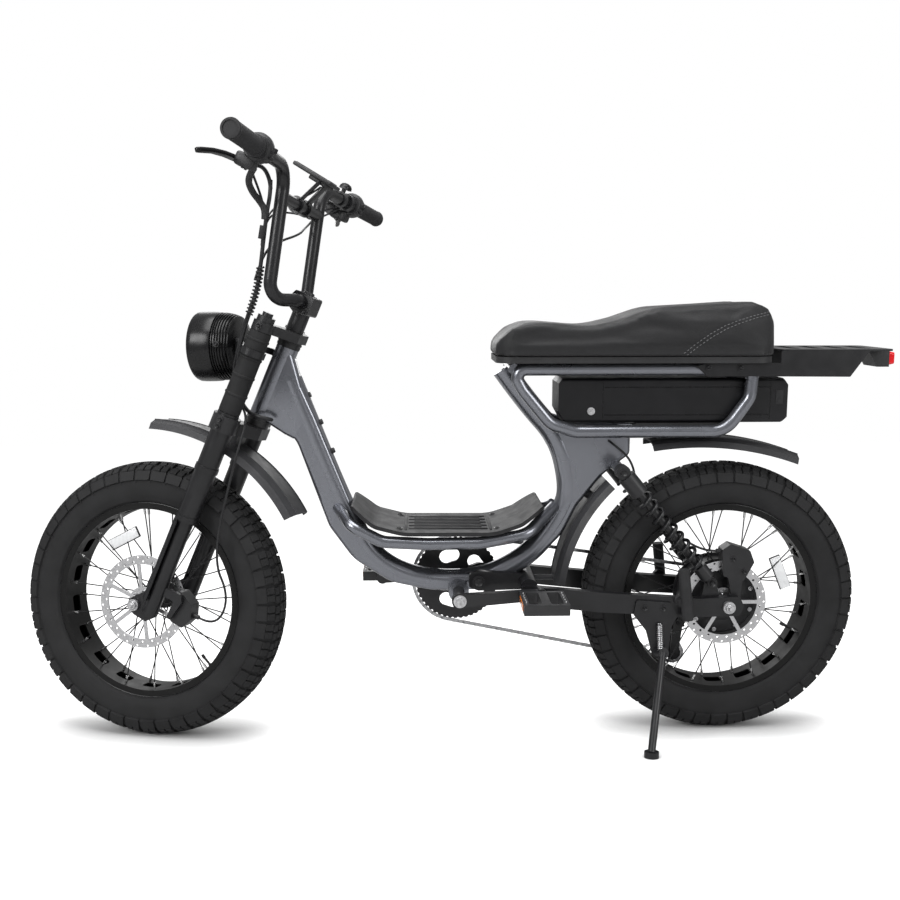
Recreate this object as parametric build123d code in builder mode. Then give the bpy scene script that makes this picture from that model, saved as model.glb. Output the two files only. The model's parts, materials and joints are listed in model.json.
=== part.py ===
"""Step-through electric bike with fat tyres, a double seat and a suspension fork.

The bike is drawn upright and straight ahead, in millimetres: X forward, Y to the rider's left, Z up,
with the rear wheel's contact point at the origin. The steering parts are drawn in the fork's own frame,
whose Z is the steering axis. At the end every piece is set as the bike parks: bars turned, leaning on
its side stand.
"""
from build123d import *
from math import acos, asin, atan2, cos, degrees, pi, radians, sin, sqrt
import os

os.makedirs("parts", exist_ok=True)

# How it parks
LEAN = 7.0
BARS_TURNED = -16.0

# Main layout
WHEELBASE = 1240.0
RAKE = 23.0
FORK_OFFSET = 68.0
SEAT_GAP = 0.3
RUNNING_GAP = 5.0

# Wheels
TYRE_RADIUS = 300.0
TYRE_WIDTH = 102.0
TYRE_CROWN = 60.0
TYRE_WALL = 9.0
RIM_LIP_RADIUS = 211.0
RIM_DEPTH = 13.0
RIM_WIDTH = 80.0
RIM_WALL = 2.6
RIM_WINDOWS = 18
RIM_WINDOW = (36.0, 26.0)
SPOKE_RADIUS = 1.3
NIPPLE_RADIUS = 2.4
NIPPLE_LENGTH = 13.0
SPOKES_PER_SIDE = 18
SPOKE_ROW = 21.0
DISC_THICKNESS = 2.0

# Front wheel
FRONT_HUB_WIDTH = 150.0
FRONT_HUB_RADIUS = 17.0
FRONT_FLANGE_RADIUS = 31.0
FRONT_FLANGE_AT = 34.0
FRONT_AXLE_RADIUS = 7.5
FRONT_DISC_RADIUS = 100.0
FRONT_DISC_AT = 59.0

# Rear wheel
REAR_AXLE_RADIUS = 7.0
MOTOR_RADIUS = 82.0
MOTOR_HALF_WIDTH = 30.0
REAR_FLANGE_RADIUS = 88.0
REAR_DISC_RADIUS = 92.0
REAR_DISC_AT = 62.0
SPROCKET_RADII = (57.0, 50.0, 44.0, 38.0, 33.0)
SPROCKET_AT = -53.0
SPROCKET_PITCH = 4.0

# Fork, in its own frame
LEG_SPACING = 168.0
LEG_AHEAD = 33.0
LEG_RADIUS = 17.0
FORK_TUBE_RADIUS = 23.0
SLEEVE_RADIUS = 18.5
SLEEVE_RING_RADIUS = 22.5
SLEEVE_RINGS = (500.0, 541.0, 581.0, 621.0)
TUBE_END = 213.0
LOWER_CROWN = (418.0, 452.0)
UPPER_CROWN = (640.0, 660.0)
HEAD_TUBE = (464.0, 624.0)
HEAD_TUBE_RADIUS = 24.0
STEERER_RADIUS = 14.3
STEM_TOP = 742.0
CLAMP_AT = (2.0, 725.0)

# Handlebar, in the fork's frame
BAR_RADIUS = 13.5
BAR_TOP = 962.0
BAR_TOP_AHEAD = 105.0
BAR_SPACING = 206.0
BAR_LOW = 706.0
BAR_LOW_AHEAD = 37.0
BAR_HALF_WIDTH = 415.0
BAR_END_AHEAD = 76.0
GRIP_LENGTH = 128.0
GRIP_RADIUS = 17.0
BRACE_AT = 905.0
BRACE_RADIUS = 12.5
DISPLAY_FRONT = (129.0, 988.0)
DISPLAY_REAR = (33.0, 974.0)

# Frame
FRAME_WIDTH = 44.0
FRAME_ROUNDING = 10.0
SPINE_BACK = ((316.0, 504.0), (262.0, 572.3))
TUBE_DEPTH = 40.0
BELLY_HEIGHT = 319.0
LOOP_RADIUS = 13.5
LOOP_SPACING = 140.0
LOOP_TOP = 805.0
LOOP_LOW = 674.0
RAIL_RADIUS = 13.0
RAIL_SPACING = 168.0
RAIL_LOW = 439.0
BB_AT = (573.0, 324.0)
BB_RADIUS = 22.0
BB_WIDTH = 100.0
PIVOT_AT = (530.0, 345.0)
PIVOT_RADIUS = 17.0

# Swingarm
ARM_SPACING = 176.0
ARM_THICK = 18.0
YOKE_INNER = 25.0
YOKE_THICK = 13.0
ARM_CROSS = (424.0, 342.0)
ARM_CROSS_RADIUS = 18.0
SHOCK_SPACING = 180.0

# Drive
CHAINRING_RADIUS = 95.0
CHAIN_LINE = -66.0
CHAIN_WIDTH = 5.6
CHAIN_DEPTH = 8.0
CRANK_LENGTH = 170.0
CRANK_ANGLE = 184.0
CRANK_INNER = 105.5
CRANK_THICK = 15.0
PEDAL_AT = 122.0
PEDAL_SIZE = (92.0, 100.0, 22.0)

# Footboard
BOARD_WIDTH = 200.0
BOARD_THICK = 8.0
BOARD_TOP = 463.0

# Battery and seat
BATTERY = (486.0, 104.0, 94.0)
BATTERY_REAR = -122.0
BATTERY_LOW = 690.0
SEAT_WIDTH = 226.0
SEAT_FRONT = 506.0
SEAT_REAR = -86.0
SEAT_LOW = 832.0
SEAT_BASE_THICK = 9.0

# Fenders
FRONT_FENDER_RADIUS = 392.0
REAR_FENDER_RADIUS = 366.0
REAR_FENDER_CENTRE = (62.0, 16.0)
REAR_FENDER_BEND = 641.0
FENDER_WIDTH = 112.0
FENDER_THICK = 3.0

# Lamp
LAMP_RADIUS = 75.0
LAMP_DEPTH = 128.0
LAMP_AT = (215.0, 535.0)
LAMP_BRACKET_AT = 586.0
LAMP_BRACKET_THICK = 14.0

# Side stand
STAND_PIVOT = (146.0, 110.0, 204.0)
STAND_LEG_RADIUS = 8.0
STAND_FOOT = (188.0, 236.0)
STAND_FOLDED = (-51.0, 120.0, 133.0)
STAND_AXIS_TILT = 0.3

LEFT = 1
RIGHT = -1
SIDES = (("left", LEFT), ("right", RIGHT))

FORK = Location((WHEELBASE - FORK_OFFSET * cos(radians(RAKE)), 0,
                 TYRE_RADIUS - FORK_OFFSET * sin(radians(RAKE)))) * Location((0, 0, 0), (0, -RAKE, 0))


def wheel_drop(axle_tilt):
    """How far below its hub a tyre touches the floor when its axle's sine of tilt is axle_tilt."""
    return (TYRE_RADIUS - TYRE_CROWN) * sqrt(1 - axle_tilt ** 2) + TYRE_CROWN


def direction(place, vector):
    """A direction carried along by a location."""
    return (place * Location(vector)).position - place.position


def parked(pitch):
    """The bike's place when it leans and pitches so, before it is set down on the floor."""
    return Location((0, 0, 0), (0, pitch, 0)) * Location((0, 0, 0), (-LEAN, 0, 0))


def turned(bars):
    """The fork's place on the upright bike with the bars turned by so many degrees."""
    return FORK * Location((0, 0, 0), (0, 0, bars))


def tyre_bottoms(pitch):
    """Heights of the rear and the front tyre's lowest points."""
    bike = parked(pitch)
    rear = (bike * Location((0, 0, TYRE_RADIUS))).position.Z - wheel_drop(direction(bike, (0, 1, 0)).Z)
    fork = bike * turned(BARS_TURNED)
    front = (fork * Location((FORK_OFFSET, 0, 0))).position.Z - wheel_drop(direction(fork, (0, 1, 0)).Z)
    return rear, front


PITCH = 0.0
for trial in range(4):
    rear_low, front_low = tyre_bottoms(PITCH)
    PITCH += degrees(asin((front_low - rear_low) / WHEELBASE))
DROP = tyre_bottoms(PITCH)[0]
STANDING = Location((0, 0, -DROP)) * parked(PITCH)
STEERED = STANDING * turned(BARS_TURNED)
REAR_HUB = STANDING * Location((0, 0, TYRE_RADIUS))
FRONT_HUB = STEERED * Location((FORK_OFFSET, 0, 0))

finished = []


def finish(piece, name, place):
    """Keep a finished piece, set where it stands on the parked bike."""
    solid = piece.part.moved(place)
    solid.label = name
    finished.append((name, solid))


def side_plane(y):
    """A plane seen from the bike's right, at this distance to the left: local X forward, local Y up."""
    return Plane.XZ.offset(-y)


def bike_of_fork(x, z):
    """A point of the fork's middle plane, in the bike's frame."""
    spot = FORK * Location((x, 0, z))
    return spot.position.X, spot.position.Z


def tube_along(points, bends, radius, bore=0.0, closed=False):
    """Add a round tube along straight runs joined by arcs to the piece being built."""
    with BuildLine() as run:
        FilletPolyline(*points, radius=bends, close=closed)
    path = run.wires()[0]
    with BuildSketch(Plane(origin=path @ 0, z_dir=path % 0)) as section:
        Circle(radius)
        if bore:
            Circle(bore, mode=Mode.SUBTRACT)
    sweep(section.sketch, path=path)


def rod(start, end, radius, mode=Mode.ADD):
    """Add a straight round rod between two points to the piece being built."""
    start = Vector(start)
    end = Vector(end)
    with BuildSketch(Plane(origin=start, z_dir=end - start)) as section:
        Circle(radius)
    extrude(section.sketch, amount=(end - start).length, mode=mode)


# Wheels: tyre, rim and spokes are alike, drawn about the hub's centre with the axle along Y
def tyre_of(name, place):
    half = TYRE_WIDTH / 2
    lip = RIM_LIP_RADIUS + SEAT_GAP
    bed = RIM_LIP_RADIUS - RIM_DEPTH + RIM_WALL + SEAT_GAP
    bead = RIM_WIDTH / 2 - RIM_WALL - SEAT_GAP
    crown_edge = half * 0.8
    crown_drop = TYRE_CROWN - sqrt(TYRE_CROWN ** 2 - crown_edge ** 2)
    with BuildPart() as tyre:
        with BuildSketch(Plane.YZ) as section:
            with BuildLine():
                top = ThreePointArc((-crown_edge, TYRE_RADIUS - crown_drop), (0, TYRE_RADIUS),
                                    (crown_edge, TYRE_RADIUS - crown_drop))
                wall = TYRE_RADIUS - crown_drop
                bulge = (wall + lip) / 2 - 4
                ThreePointArc(top @ 1, (half, bulge), (bead + 6, lip + 2))
                Line((bead + 6, lip + 2), (bead, lip + SEAT_GAP))
                Line((bead, lip + SEAT_GAP), (bead, lip - 4))
                Line((bead, lip - 4), (bead, bed))
                Line((bead, bed), (bead - TYRE_WALL, bed))
                Line((bead - TYRE_WALL, bed), (half - TYRE_WALL, bulge))
                Line((half - TYRE_WALL, bulge), (crown_edge - TYRE_WALL, wall - TYRE_WALL))
                Line((crown_edge - TYRE_WALL, wall - TYRE_WALL), (0, TYRE_RADIUS - TYRE_WALL - 4))
                Line((0, TYRE_RADIUS - TYRE_WALL - 4), (TYRE_WALL - crown_edge, wall - TYRE_WALL))
                Line((TYRE_WALL - crown_edge, wall - TYRE_WALL), (TYRE_WALL - half, bulge))
                Line((TYRE_WALL - half, bulge), (TYRE_WALL - bead, bed))
                Line((TYRE_WALL - bead, bed), (-bead, bed))
                Line((-bead, bed), (-bead, lip - 4))
                Line((-bead, lip - 4), (-bead, lip + SEAT_GAP))
                Line((-bead, lip + SEAT_GAP), (-bead - 6, lip + 2))
                ThreePointArc((-bead - 6, lip + 2), (-half, bulge), top @ 0)
            make_face()
        revolve(axis=Axis.Y)
    finish(tyre, name, place)


def rim_of(name, place):
    half = RIM_WIDTH / 2
    bed = RIM_LIP_RADIUS - RIM_DEPTH
    with BuildPart() as rim:
        with BuildSketch(Plane.YZ):
            with BuildLine():
                Polyline((-half, RIM_LIP_RADIUS), (-half, bed), (half, bed), (half, RIM_LIP_RADIUS),
                         (half - RIM_WALL, RIM_LIP_RADIUS), (half - RIM_WALL, bed + RIM_WALL),
                         (RIM_WALL - half, bed + RIM_WALL), (RIM_WALL - half, RIM_LIP_RADIUS), close=True)
            make_face()
        revolve(axis=Axis.Y)
        for count in range(RIM_WINDOWS):
            angle = 360 / RIM_WINDOWS * (count + 0.5)
            out = Vector(cos(radians(angle)), 0, sin(radians(angle)))
            with BuildSketch(Plane(origin=out * (bed - 5), x_dir=(0, 1, 0), z_dir=out)):
                RectangleRounded(RIM_WINDOW[1], RIM_WINDOW[0], 6)
            extrude(amount=5 + RIM_DEPTH, mode=Mode.SUBTRACT)
    finish(rim, name, place)


def spokes_of(name, place, flange_radius, flange_at, lead):
    """Crossed spokes: each leaves its flange at a tangent, lead degrees ahead of or behind its nipple."""
    bed = RIM_LIP_RADIUS - RIM_DEPTH - SEAT_GAP
    step = 360 / SPOKES_PER_SIDE
    with BuildPart() as spokes:
        for side in (LEFT, RIGHT):
            for count in range(SPOKES_PER_SIDE):
                way = 1 if count % 2 else -1
                at_rim = radians(step * (count + (0.25 if side == LEFT else 0.75)))
                at_hub = at_rim + way * radians(lead)
                offset = SPOKE_RADIUS + 3 * SEAT_GAP + 1.5
                hub_y = side * (flange_at + way * offset)
                foot = Vector(flange_radius * cos(at_hub), hub_y, flange_radius * sin(at_hub))
                head = Vector(bed * cos(at_rim), side * SPOKE_ROW, bed * sin(at_rim))
                along = (head - foot).normalized()
                head = head - along * 0.5
                rod(foot, head, SPOKE_RADIUS)
                rod(head - along * NIPPLE_LENGTH, head, NIPPLE_RADIUS)
    finish(spokes, name, place)


def disc_of(name, place, radius, at, bolt_ring):
    """A brake disc with a wavy row of slots, on a thin carrier with spokes."""
    with BuildPart() as disc:
        with BuildSketch(side_plane(at)):
            Circle(radius)
            with PolarLocations(radius - 4, 24):
                Circle(2.5, mode=Mode.SUBTRACT)
            with PolarLocations(radius - 13, 24, start_angle=7.5):
                Circle(2.5, mode=Mode.SUBTRACT)
            Circle(radius - 19, mode=Mode.SUBTRACT)
            with PolarLocations(0, 6):
                with Locations((radius / 2 - 8, 0)):
                    Rectangle(radius - 16, 8, rotation=0)
            Circle(bolt_ring + 5)
            Circle(bolt_ring - 12, mode=Mode.SUBTRACT)
        extrude(amount=DISC_THICKNESS)
    finish(disc, name, place)


tyre_of("front_tyre", FRONT_HUB)
tyre_of("rear_tyre", REAR_HUB)
rim_of("front_rim", FRONT_HUB)
rim_of("rear_rim", REAR_HUB)
spokes_of("front_spokes", FRONT_HUB, FRONT_FLANGE_RADIUS - 4, FRONT_FLANGE_AT, 34)
spokes_of("rear_spokes", REAR_HUB, REAR_FLANGE_RADIUS - 4, MOTOR_HALF_WIDTH - 2, 14)
disc_of("front_brake_disc", FRONT_HUB, FRONT_DISC_RADIUS, FRONT_DISC_AT, 27)
disc_of("rear_brake_disc", REAR_HUB, REAR_DISC_RADIUS, REAR_DISC_AT, 27)

disc_seat = FRONT_DISC_AT - DISC_THICKNESS
with BuildPart() as front_hub:
    with BuildSketch(Plane.YZ):
        with BuildLine():
            Polyline((-FRONT_HUB_WIDTH / 2 + SEAT_GAP, 0), (-FRONT_HUB_WIDTH / 2 + SEAT_GAP, 12),
                     (-56, 14), (-FRONT_FLANGE_AT - 6, FRONT_HUB_RADIUS + 3),
                     (-FRONT_FLANGE_AT - 1.5, FRONT_HUB_RADIUS + 3),
                     (-FRONT_FLANGE_AT - 1.5, FRONT_FLANGE_RADIUS), (-FRONT_FLANGE_AT + 1.5, FRONT_FLANGE_RADIUS),
                     (-FRONT_FLANGE_AT + 1.5, FRONT_HUB_RADIUS + 3), (-18, FRONT_HUB_RADIUS),
                     (18, FRONT_HUB_RADIUS), (FRONT_FLANGE_AT - 1.5, FRONT_HUB_RADIUS + 3),
                     (FRONT_FLANGE_AT - 1.5, FRONT_FLANGE_RADIUS), (FRONT_FLANGE_AT + 1.5, FRONT_FLANGE_RADIUS),
                     (FRONT_FLANGE_AT + 1.5, FRONT_HUB_RADIUS + 3), (disc_seat - 9, FRONT_HUB_RADIUS + 3),
                     (disc_seat - 9, 30), (disc_seat - SEAT_GAP, 30), (disc_seat - SEAT_GAP, 14.5),
                     (FRONT_DISC_AT + 4, 14.5), (FRONT_HUB_WIDTH / 2 - SEAT_GAP, 12),
                     (FRONT_HUB_WIDTH / 2 - SEAT_GAP, 0), close=True)
        make_face()
    revolve(axis=Axis.Y)
    with BuildSketch(side_plane(FRONT_HUB_WIDTH / 2)):
        Circle(FRONT_AXLE_RADIUS + SEAT_GAP)
    extrude(amount=FRONT_HUB_WIDTH, mode=Mode.SUBTRACT)
finish(front_hub, "front_hub", FRONT_HUB)

arm_inner = ARM_SPACING / 2 - ARM_THICK / 2
rear_disc_seat = REAR_DISC_AT - DISC_THICKNESS
with BuildPart() as hub_motor:
    with BuildSketch(Plane.YZ):
        with BuildLine():
            Polyline((-MOTOR_HALF_WIDTH - 14, 0), (-MOTOR_HALF_WIDTH - 14, 24), (-MOTOR_HALF_WIDTH - 6, 40),
                     (-MOTOR_HALF_WIDTH - 3, MOTOR_RADIUS - 8), (-MOTOR_HALF_WIDTH + 4, MOTOR_RADIUS - 2),
                     (-MOTOR_HALF_WIDTH + 0.5, MOTOR_RADIUS - 2),
                     (-MOTOR_HALF_WIDTH + 0.5, REAR_FLANGE_RADIUS), (-MOTOR_HALF_WIDTH + 3.5, REAR_FLANGE_RADIUS),
                     (-MOTOR_HALF_WIDTH + 3.5, MOTOR_RADIUS), (MOTOR_HALF_WIDTH - 3.5, MOTOR_RADIUS),
                     (MOTOR_HALF_WIDTH - 3.5, REAR_FLANGE_RADIUS), (MOTOR_HALF_WIDTH - 0.5, REAR_FLANGE_RADIUS),
                     (MOTOR_HALF_WIDTH - 0.5, MOTOR_RADIUS - 2), (MOTOR_HALF_WIDTH + 8, MOTOR_RADIUS - 10),
                     (MOTOR_HALF_WIDTH + 12, 48), (MOTOR_HALF_WIDTH + 18, 32),
                     (rear_disc_seat - SEAT_GAP, 30), (rear_disc_seat - SEAT_GAP, 14.5),
                     (REAR_DISC_AT + 4, 14.5), (arm_inner - RUNNING_GAP, 12), (arm_inner - RUNNING_GAP, 0),
                     close=True)
        make_face()
    revolve(axis=Axis.Y)
    with BuildSketch(side_plane(arm_inner)):
        Circle(REAR_AXLE_RADIUS + SEAT_GAP)
    extrude(amount=2 * arm_inner, mode=Mode.SUBTRACT)
finish(hub_motor, "hub_motor", REAR_HUB)

with BuildPart() as cassette:
    for number, radius in enumerate(SPROCKET_RADII):
        teeth = round(2 * pi * radius / 12.7)
        with BuildSketch(side_plane(SPROCKET_AT - number * SPROCKET_PITCH)):
            Circle(radius)
            with PolarLocations(radius + 1, teeth):
                Circle(2.6, mode=Mode.SUBTRACT)
            Circle(17, mode=Mode.SUBTRACT)
        extrude(amount=2)
    with BuildSketch(side_plane(-MOTOR_HALF_WIDTH - 14 - SEAT_GAP)):
        Circle(20)
        Circle(REAR_AXLE_RADIUS + SEAT_GAP, mode=Mode.SUBTRACT)
    extrude(amount=arm_inner - RUNNING_GAP - MOTOR_HALF_WIDTH - 14 - SEAT_GAP)
finish(cassette, "cassette", REAR_HUB)

# Fork, drawn in its own frame: X ahead of the steering axis, Z up along it
leg_side = LEG_SPACING / 2


def ring_sketch(x, y, z, radius, height, bore=0.0):
    """Add an upright round collar, or a disc, to the piece being built."""
    with BuildSketch(Plane.XY.offset(z)) as section:
        with Locations((x, y)):
            Circle(radius)
            if bore:
                Circle(bore, mode=Mode.SUBTRACT)
    extrude(section.sketch, amount=height)


with BuildPart() as lower_crown:
    with BuildSketch(Plane.XY.offset(LOWER_CROWN[0])):
        with BuildLine():
            Polyline((-24, -22), (-24, 22), (LEG_AHEAD - 18, leg_side), (LEG_AHEAD + 18, leg_side),
                     (20, 22), (20, -22), (LEG_AHEAD + 18, -leg_side), (LEG_AHEAD - 18, -leg_side), close=True)
        make_face()
        with Locations((LEG_AHEAD, leg_side), (LEG_AHEAD, -leg_side)):
            Circle(FORK_TUBE_RADIUS + 6)
    extrude(amount=LOWER_CROWN[1] - LOWER_CROWN[0] - 8)
    for side in (LEFT, RIGHT):
        ring_sketch(LEG_AHEAD, side * leg_side, LOWER_CROWN[0], FORK_TUBE_RADIUS + 6, LOWER_CROWN[1] - LOWER_CROWN[0])
    with BuildSketch(Plane.XY.offset(LOWER_CROWN[0])):
        with Locations((LEG_AHEAD, leg_side), (LEG_AHEAD, -leg_side)):
            Circle(FORK_TUBE_RADIUS)
    extrude(amount=LOWER_CROWN[1] - LOWER_CROWN[0], mode=Mode.SUBTRACT)
    ring_sketch(0, 0, LOWER_CROWN[0], STEERER_RADIUS, UPPER_CROWN[0] - LOWER_CROWN[0])
finish(lower_crown, "lower_crown", STEERED)

with BuildPart() as upper_crown:
    with BuildSketch(Plane.XY.offset(UPPER_CROWN[0])):
        with BuildLine():
            Polyline((-26, -24), (-26, 24), (LEG_AHEAD - 14, leg_side), (LEG_AHEAD + 14, leg_side),
                     (22, 24), (22, -24), (LEG_AHEAD + 14, -leg_side), (LEG_AHEAD - 14, -leg_side), close=True)
        make_face()
        with Locations((LEG_AHEAD, leg_side), (LEG_AHEAD, -leg_side)):
            Circle(SLEEVE_RADIUS + 4)
    extrude(amount=UPPER_CROWN[1] - UPPER_CROWN[0])
    for side in (LEFT, RIGHT):
        ring_sketch(LEG_AHEAD, side * leg_side, UPPER_CROWN[1], SLEEVE_RADIUS, 12)
        ring_sketch(LEG_AHEAD, side * leg_side, UPPER_CROWN[1] + 12, 11, 8)
finish(upper_crown, "upper_crown", STEERED)

with BuildPart() as fork_tubes:
    for y in (leg_side, -leg_side):
        ring_sketch(LEG_AHEAD, y, TUBE_END, FORK_TUBE_RADIUS, LOWER_CROWN[1] + 6 - TUBE_END, LEG_RADIUS + SEAT_GAP)
        ring_sketch(LEG_AHEAD, y, TUBE_END, FORK_TUBE_RADIUS + 1.5, 12, LEG_RADIUS + SEAT_GAP)
        ring_sketch(LEG_AHEAD, y, 326, FORK_TUBE_RADIUS + 2, 12, LEG_RADIUS + SEAT_GAP)
        ring_sketch(LEG_AHEAD, y, LOWER_CROWN[1] + 6, SLEEVE_RADIUS, UPPER_CROWN[0] - LOWER_CROWN[1] - 6)
        for ring in SLEEVE_RINGS:
            ring_sketch(LEG_AHEAD, y, ring - 6, SLEEVE_RING_RADIUS, 12)
finish(fork_tubes, "fork_tubes", STEERED)

GUARD = (24.0, 208.0)
GUARD_GAP = 5.0
GUARD_THICK = 3.0


def guard_ring(side, inner, outer, low, high):
    """Add the front and outer part of a ring round a fork leg to the piece being built."""
    y = side * leg_side
    with BuildSketch(Plane.XY.offset(low)) as section:
        with Locations((LEG_AHEAD, y)):
            Circle(outer)
            Circle(inner, mode=Mode.SUBTRACT)
        with Locations((LEG_AHEAD - 12, y)):
            Rectangle(40, 80, mode=Mode.SUBTRACT)
        with Locations((LEG_AHEAD, y - side * 30)):
            Rectangle(80, 40, mode=Mode.SUBTRACT)
    extrude(section.sketch, amount=high - low)


with BuildPart() as fork_legs:
    for side in (LEFT, RIGHT):
        y = side * leg_side
        ring_sketch(LEG_AHEAD, y, -6, LEG_RADIUS, LOWER_CROWN[1] - 10 + 6)
        with BuildSketch(side_plane(y + 9)):
            with BuildLine():
                Polyline((LEG_AHEAD - 15, 46), (LEG_AHEAD - 15, -8), (LEG_AHEAD - 2, -22),
                         (FORK_OFFSET - 6, -20), (FORK_OFFSET + 14, -10), (FORK_OFFSET + 16, 6),
                         (FORK_OFFSET + 6, 18), (LEG_AHEAD + 16, 46), close=True)
            make_face()
            fillet(vertices().group_by(Axis.Y)[0], 5)
        extrude(amount=18)
        guard_ring(side, LEG_RADIUS + GUARD_GAP, LEG_RADIUS + GUARD_GAP + GUARD_THICK, *GUARD)
        guard_ring(side, LEG_RADIUS - 1, LEG_RADIUS + GUARD_GAP + 1, GUARD[0] + 2, GUARD[0] + 16)
    with BuildSketch(side_plane(leg_side + 12)):
        with Locations((FORK_OFFSET, 0)):
            Circle(FRONT_AXLE_RADIUS)
    extrude(amount=LEG_SPACING + 24, mode=Mode.SUBTRACT)
    with BuildSketch(side_plane(leg_side + 5)):
        with BuildLine():
            Polyline((LEG_AHEAD - 12, 62), (LEG_AHEAD - 52, 64), (LEG_AHEAD - 60, 50), (LEG_AHEAD - 50, 6),
                     (LEG_AHEAD - 40, 6), (LEG_AHEAD - 42, 44), (LEG_AHEAD - 12, 44), close=True)
        make_face()
    extrude(amount=10)
finish(fork_legs, "fork_legs", STEERED)

with BuildPart() as front_axle:
    with BuildSketch(side_plane(leg_side + 9)):
        with Locations((FORK_OFFSET, 0)):
            Circle(FRONT_AXLE_RADIUS)
    extrude(amount=LEG_SPACING + 18)
    for side in (LEFT, RIGHT):
        with BuildSketch(side_plane(side * (leg_side + 9))):
            with Locations((FORK_OFFSET, 0)):
                RegularPolygon(12, 6)
        extrude(amount=-side * 7)
finish(front_axle, "front_axle", STEERED)

with BuildPart() as stem:
    ring_sketch(0, 0, UPPER_CROWN[1], 19, STEM_TOP - UPPER_CROWN[1] - 34)
    with BuildSketch(side_plane(26)):
        with BuildLine():
            Polyline((-24, STEM_TOP - 40), (-24, STEM_TOP), (20, STEM_TOP + 2), (27, STEM_TOP - 12),
                     (25, STEM_TOP - 34), (8, STEM_TOP - 44), close=True)
        make_face()
        fillet(vertices(), 5)
    extrude(amount=52)
    with BuildSketch(side_plane(30)):
        with Locations(CLAMP_AT):
            Circle(BAR_RADIUS + SEAT_GAP)
    extrude(amount=60, mode=Mode.SUBTRACT)
finish(stem, "stem", STEERED)

half_bar = [(BAR_END_AHEAD, BAR_HALF_WIDTH, BAR_TOP + 3), (BAR_TOP_AHEAD, BAR_SPACING / 2, BAR_TOP),
            (BAR_LOW_AHEAD, BAR_SPACING / 2, BAR_LOW), (CLAMP_AT[0], 42, CLAMP_AT[1])]
bar_points = half_bar + [(x, -y, z) for x, y, z in reversed(half_bar)]
with BuildPart() as handlebar:
    tube_along(bar_points, [46, 34, 40, 40, 34, 46], BAR_RADIUS)
    brace_x = BAR_LOW_AHEAD + (BAR_TOP_AHEAD - BAR_LOW_AHEAD) * (BRACE_AT - BAR_LOW) / (BAR_TOP - BAR_LOW)
    rod((brace_x, BAR_SPACING / 2, BRACE_AT), (brace_x, -BAR_SPACING / 2, BRACE_AT), BRACE_RADIUS)
finish(handlebar, "handlebar", STEERED)

grip_way = Vector(BAR_END_AHEAD - BAR_TOP_AHEAD, BAR_HALF_WIDTH - BAR_SPACING / 2, 3).normalized()


def bar_spot(side, back):
    """A point on the bar's axis this far in from its end, and the bar's outward direction there."""
    way = Vector(grip_way.X, side * grip_way.Y, grip_way.Z)
    end = Vector(BAR_END_AHEAD, side * BAR_HALF_WIDTH, BAR_TOP + 3)
    return end - way * back, way


with BuildPart() as grips:
    for side in (LEFT, RIGHT):
        inner, way = bar_spot(side, GRIP_LENGTH)
        with BuildSketch(Plane(origin=inner, z_dir=way)):
            Circle(GRIP_RADIUS)
            Circle(BAR_RADIUS + 0.1, mode=Mode.SUBTRACT)
        extrude(amount=GRIP_LENGTH + 1)
        with BuildSketch(Plane(origin=inner, z_dir=way)):
            Circle(GRIP_RADIUS + 3)
            Circle(BAR_RADIUS + 0.1, mode=Mode.SUBTRACT)
        extrude(amount=5)
        with BuildSketch(Plane(origin=inner + way * (GRIP_LENGTH + 0.1), z_dir=way)):
            Circle(GRIP_RADIUS + 1)
        extrude(amount=4)
finish(grips, "grips", STEERED)

with BuildPart() as switch_pods:
    for side in (LEFT, RIGHT):
        inner, way = bar_spot(side, GRIP_LENGTH + 36)
        with BuildSketch(Plane(origin=inner, x_dir=(1, 0, 0), z_dir=way)):
            RectangleRounded(46, 42, 14)
            Circle(BAR_RADIUS + 0.1, mode=Mode.SUBTRACT)
        extrude(amount=33)
finish(switch_pods, "switch_pods", STEERED)

with BuildPart() as brake_levers:
    for side in (LEFT, RIGHT):
        inner, way = bar_spot(side, GRIP_LENGTH + 62)
        with BuildSketch(Plane(origin=inner, x_dir=(1, 0, 0), z_dir=way)):
            Circle(BAR_RADIUS + 6)
            with Locations((24, 0)):
                Rectangle(40, 22)
            Circle(BAR_RADIUS + 0.1, mode=Mode.SUBTRACT)
        extrude(amount=22)
        pivot = inner + way * 11 + Vector(46, 0, 0)
        with BuildSketch(Plane.XY.offset(pivot.Z - 5)):
            with BuildLine():
                Polyline((pivot.X - 12, pivot.Y), (pivot.X + 10, pivot.Y - side * 8),
                         (pivot.X + 12, pivot.Y + side * 30), (pivot.X + 22, pivot.Y + side * 90),
                         (pivot.X + 34, pivot.Y + side * 118), (pivot.X + 28, pivot.Y + side * 126),
                         (pivot.X + 6, pivot.Y + side * 88), (pivot.X - 6, pivot.Y + side * 26), close=True)
            make_face()
        extrude(amount=10)
finish(brake_levers, "brake_levers", STEERED)

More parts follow.
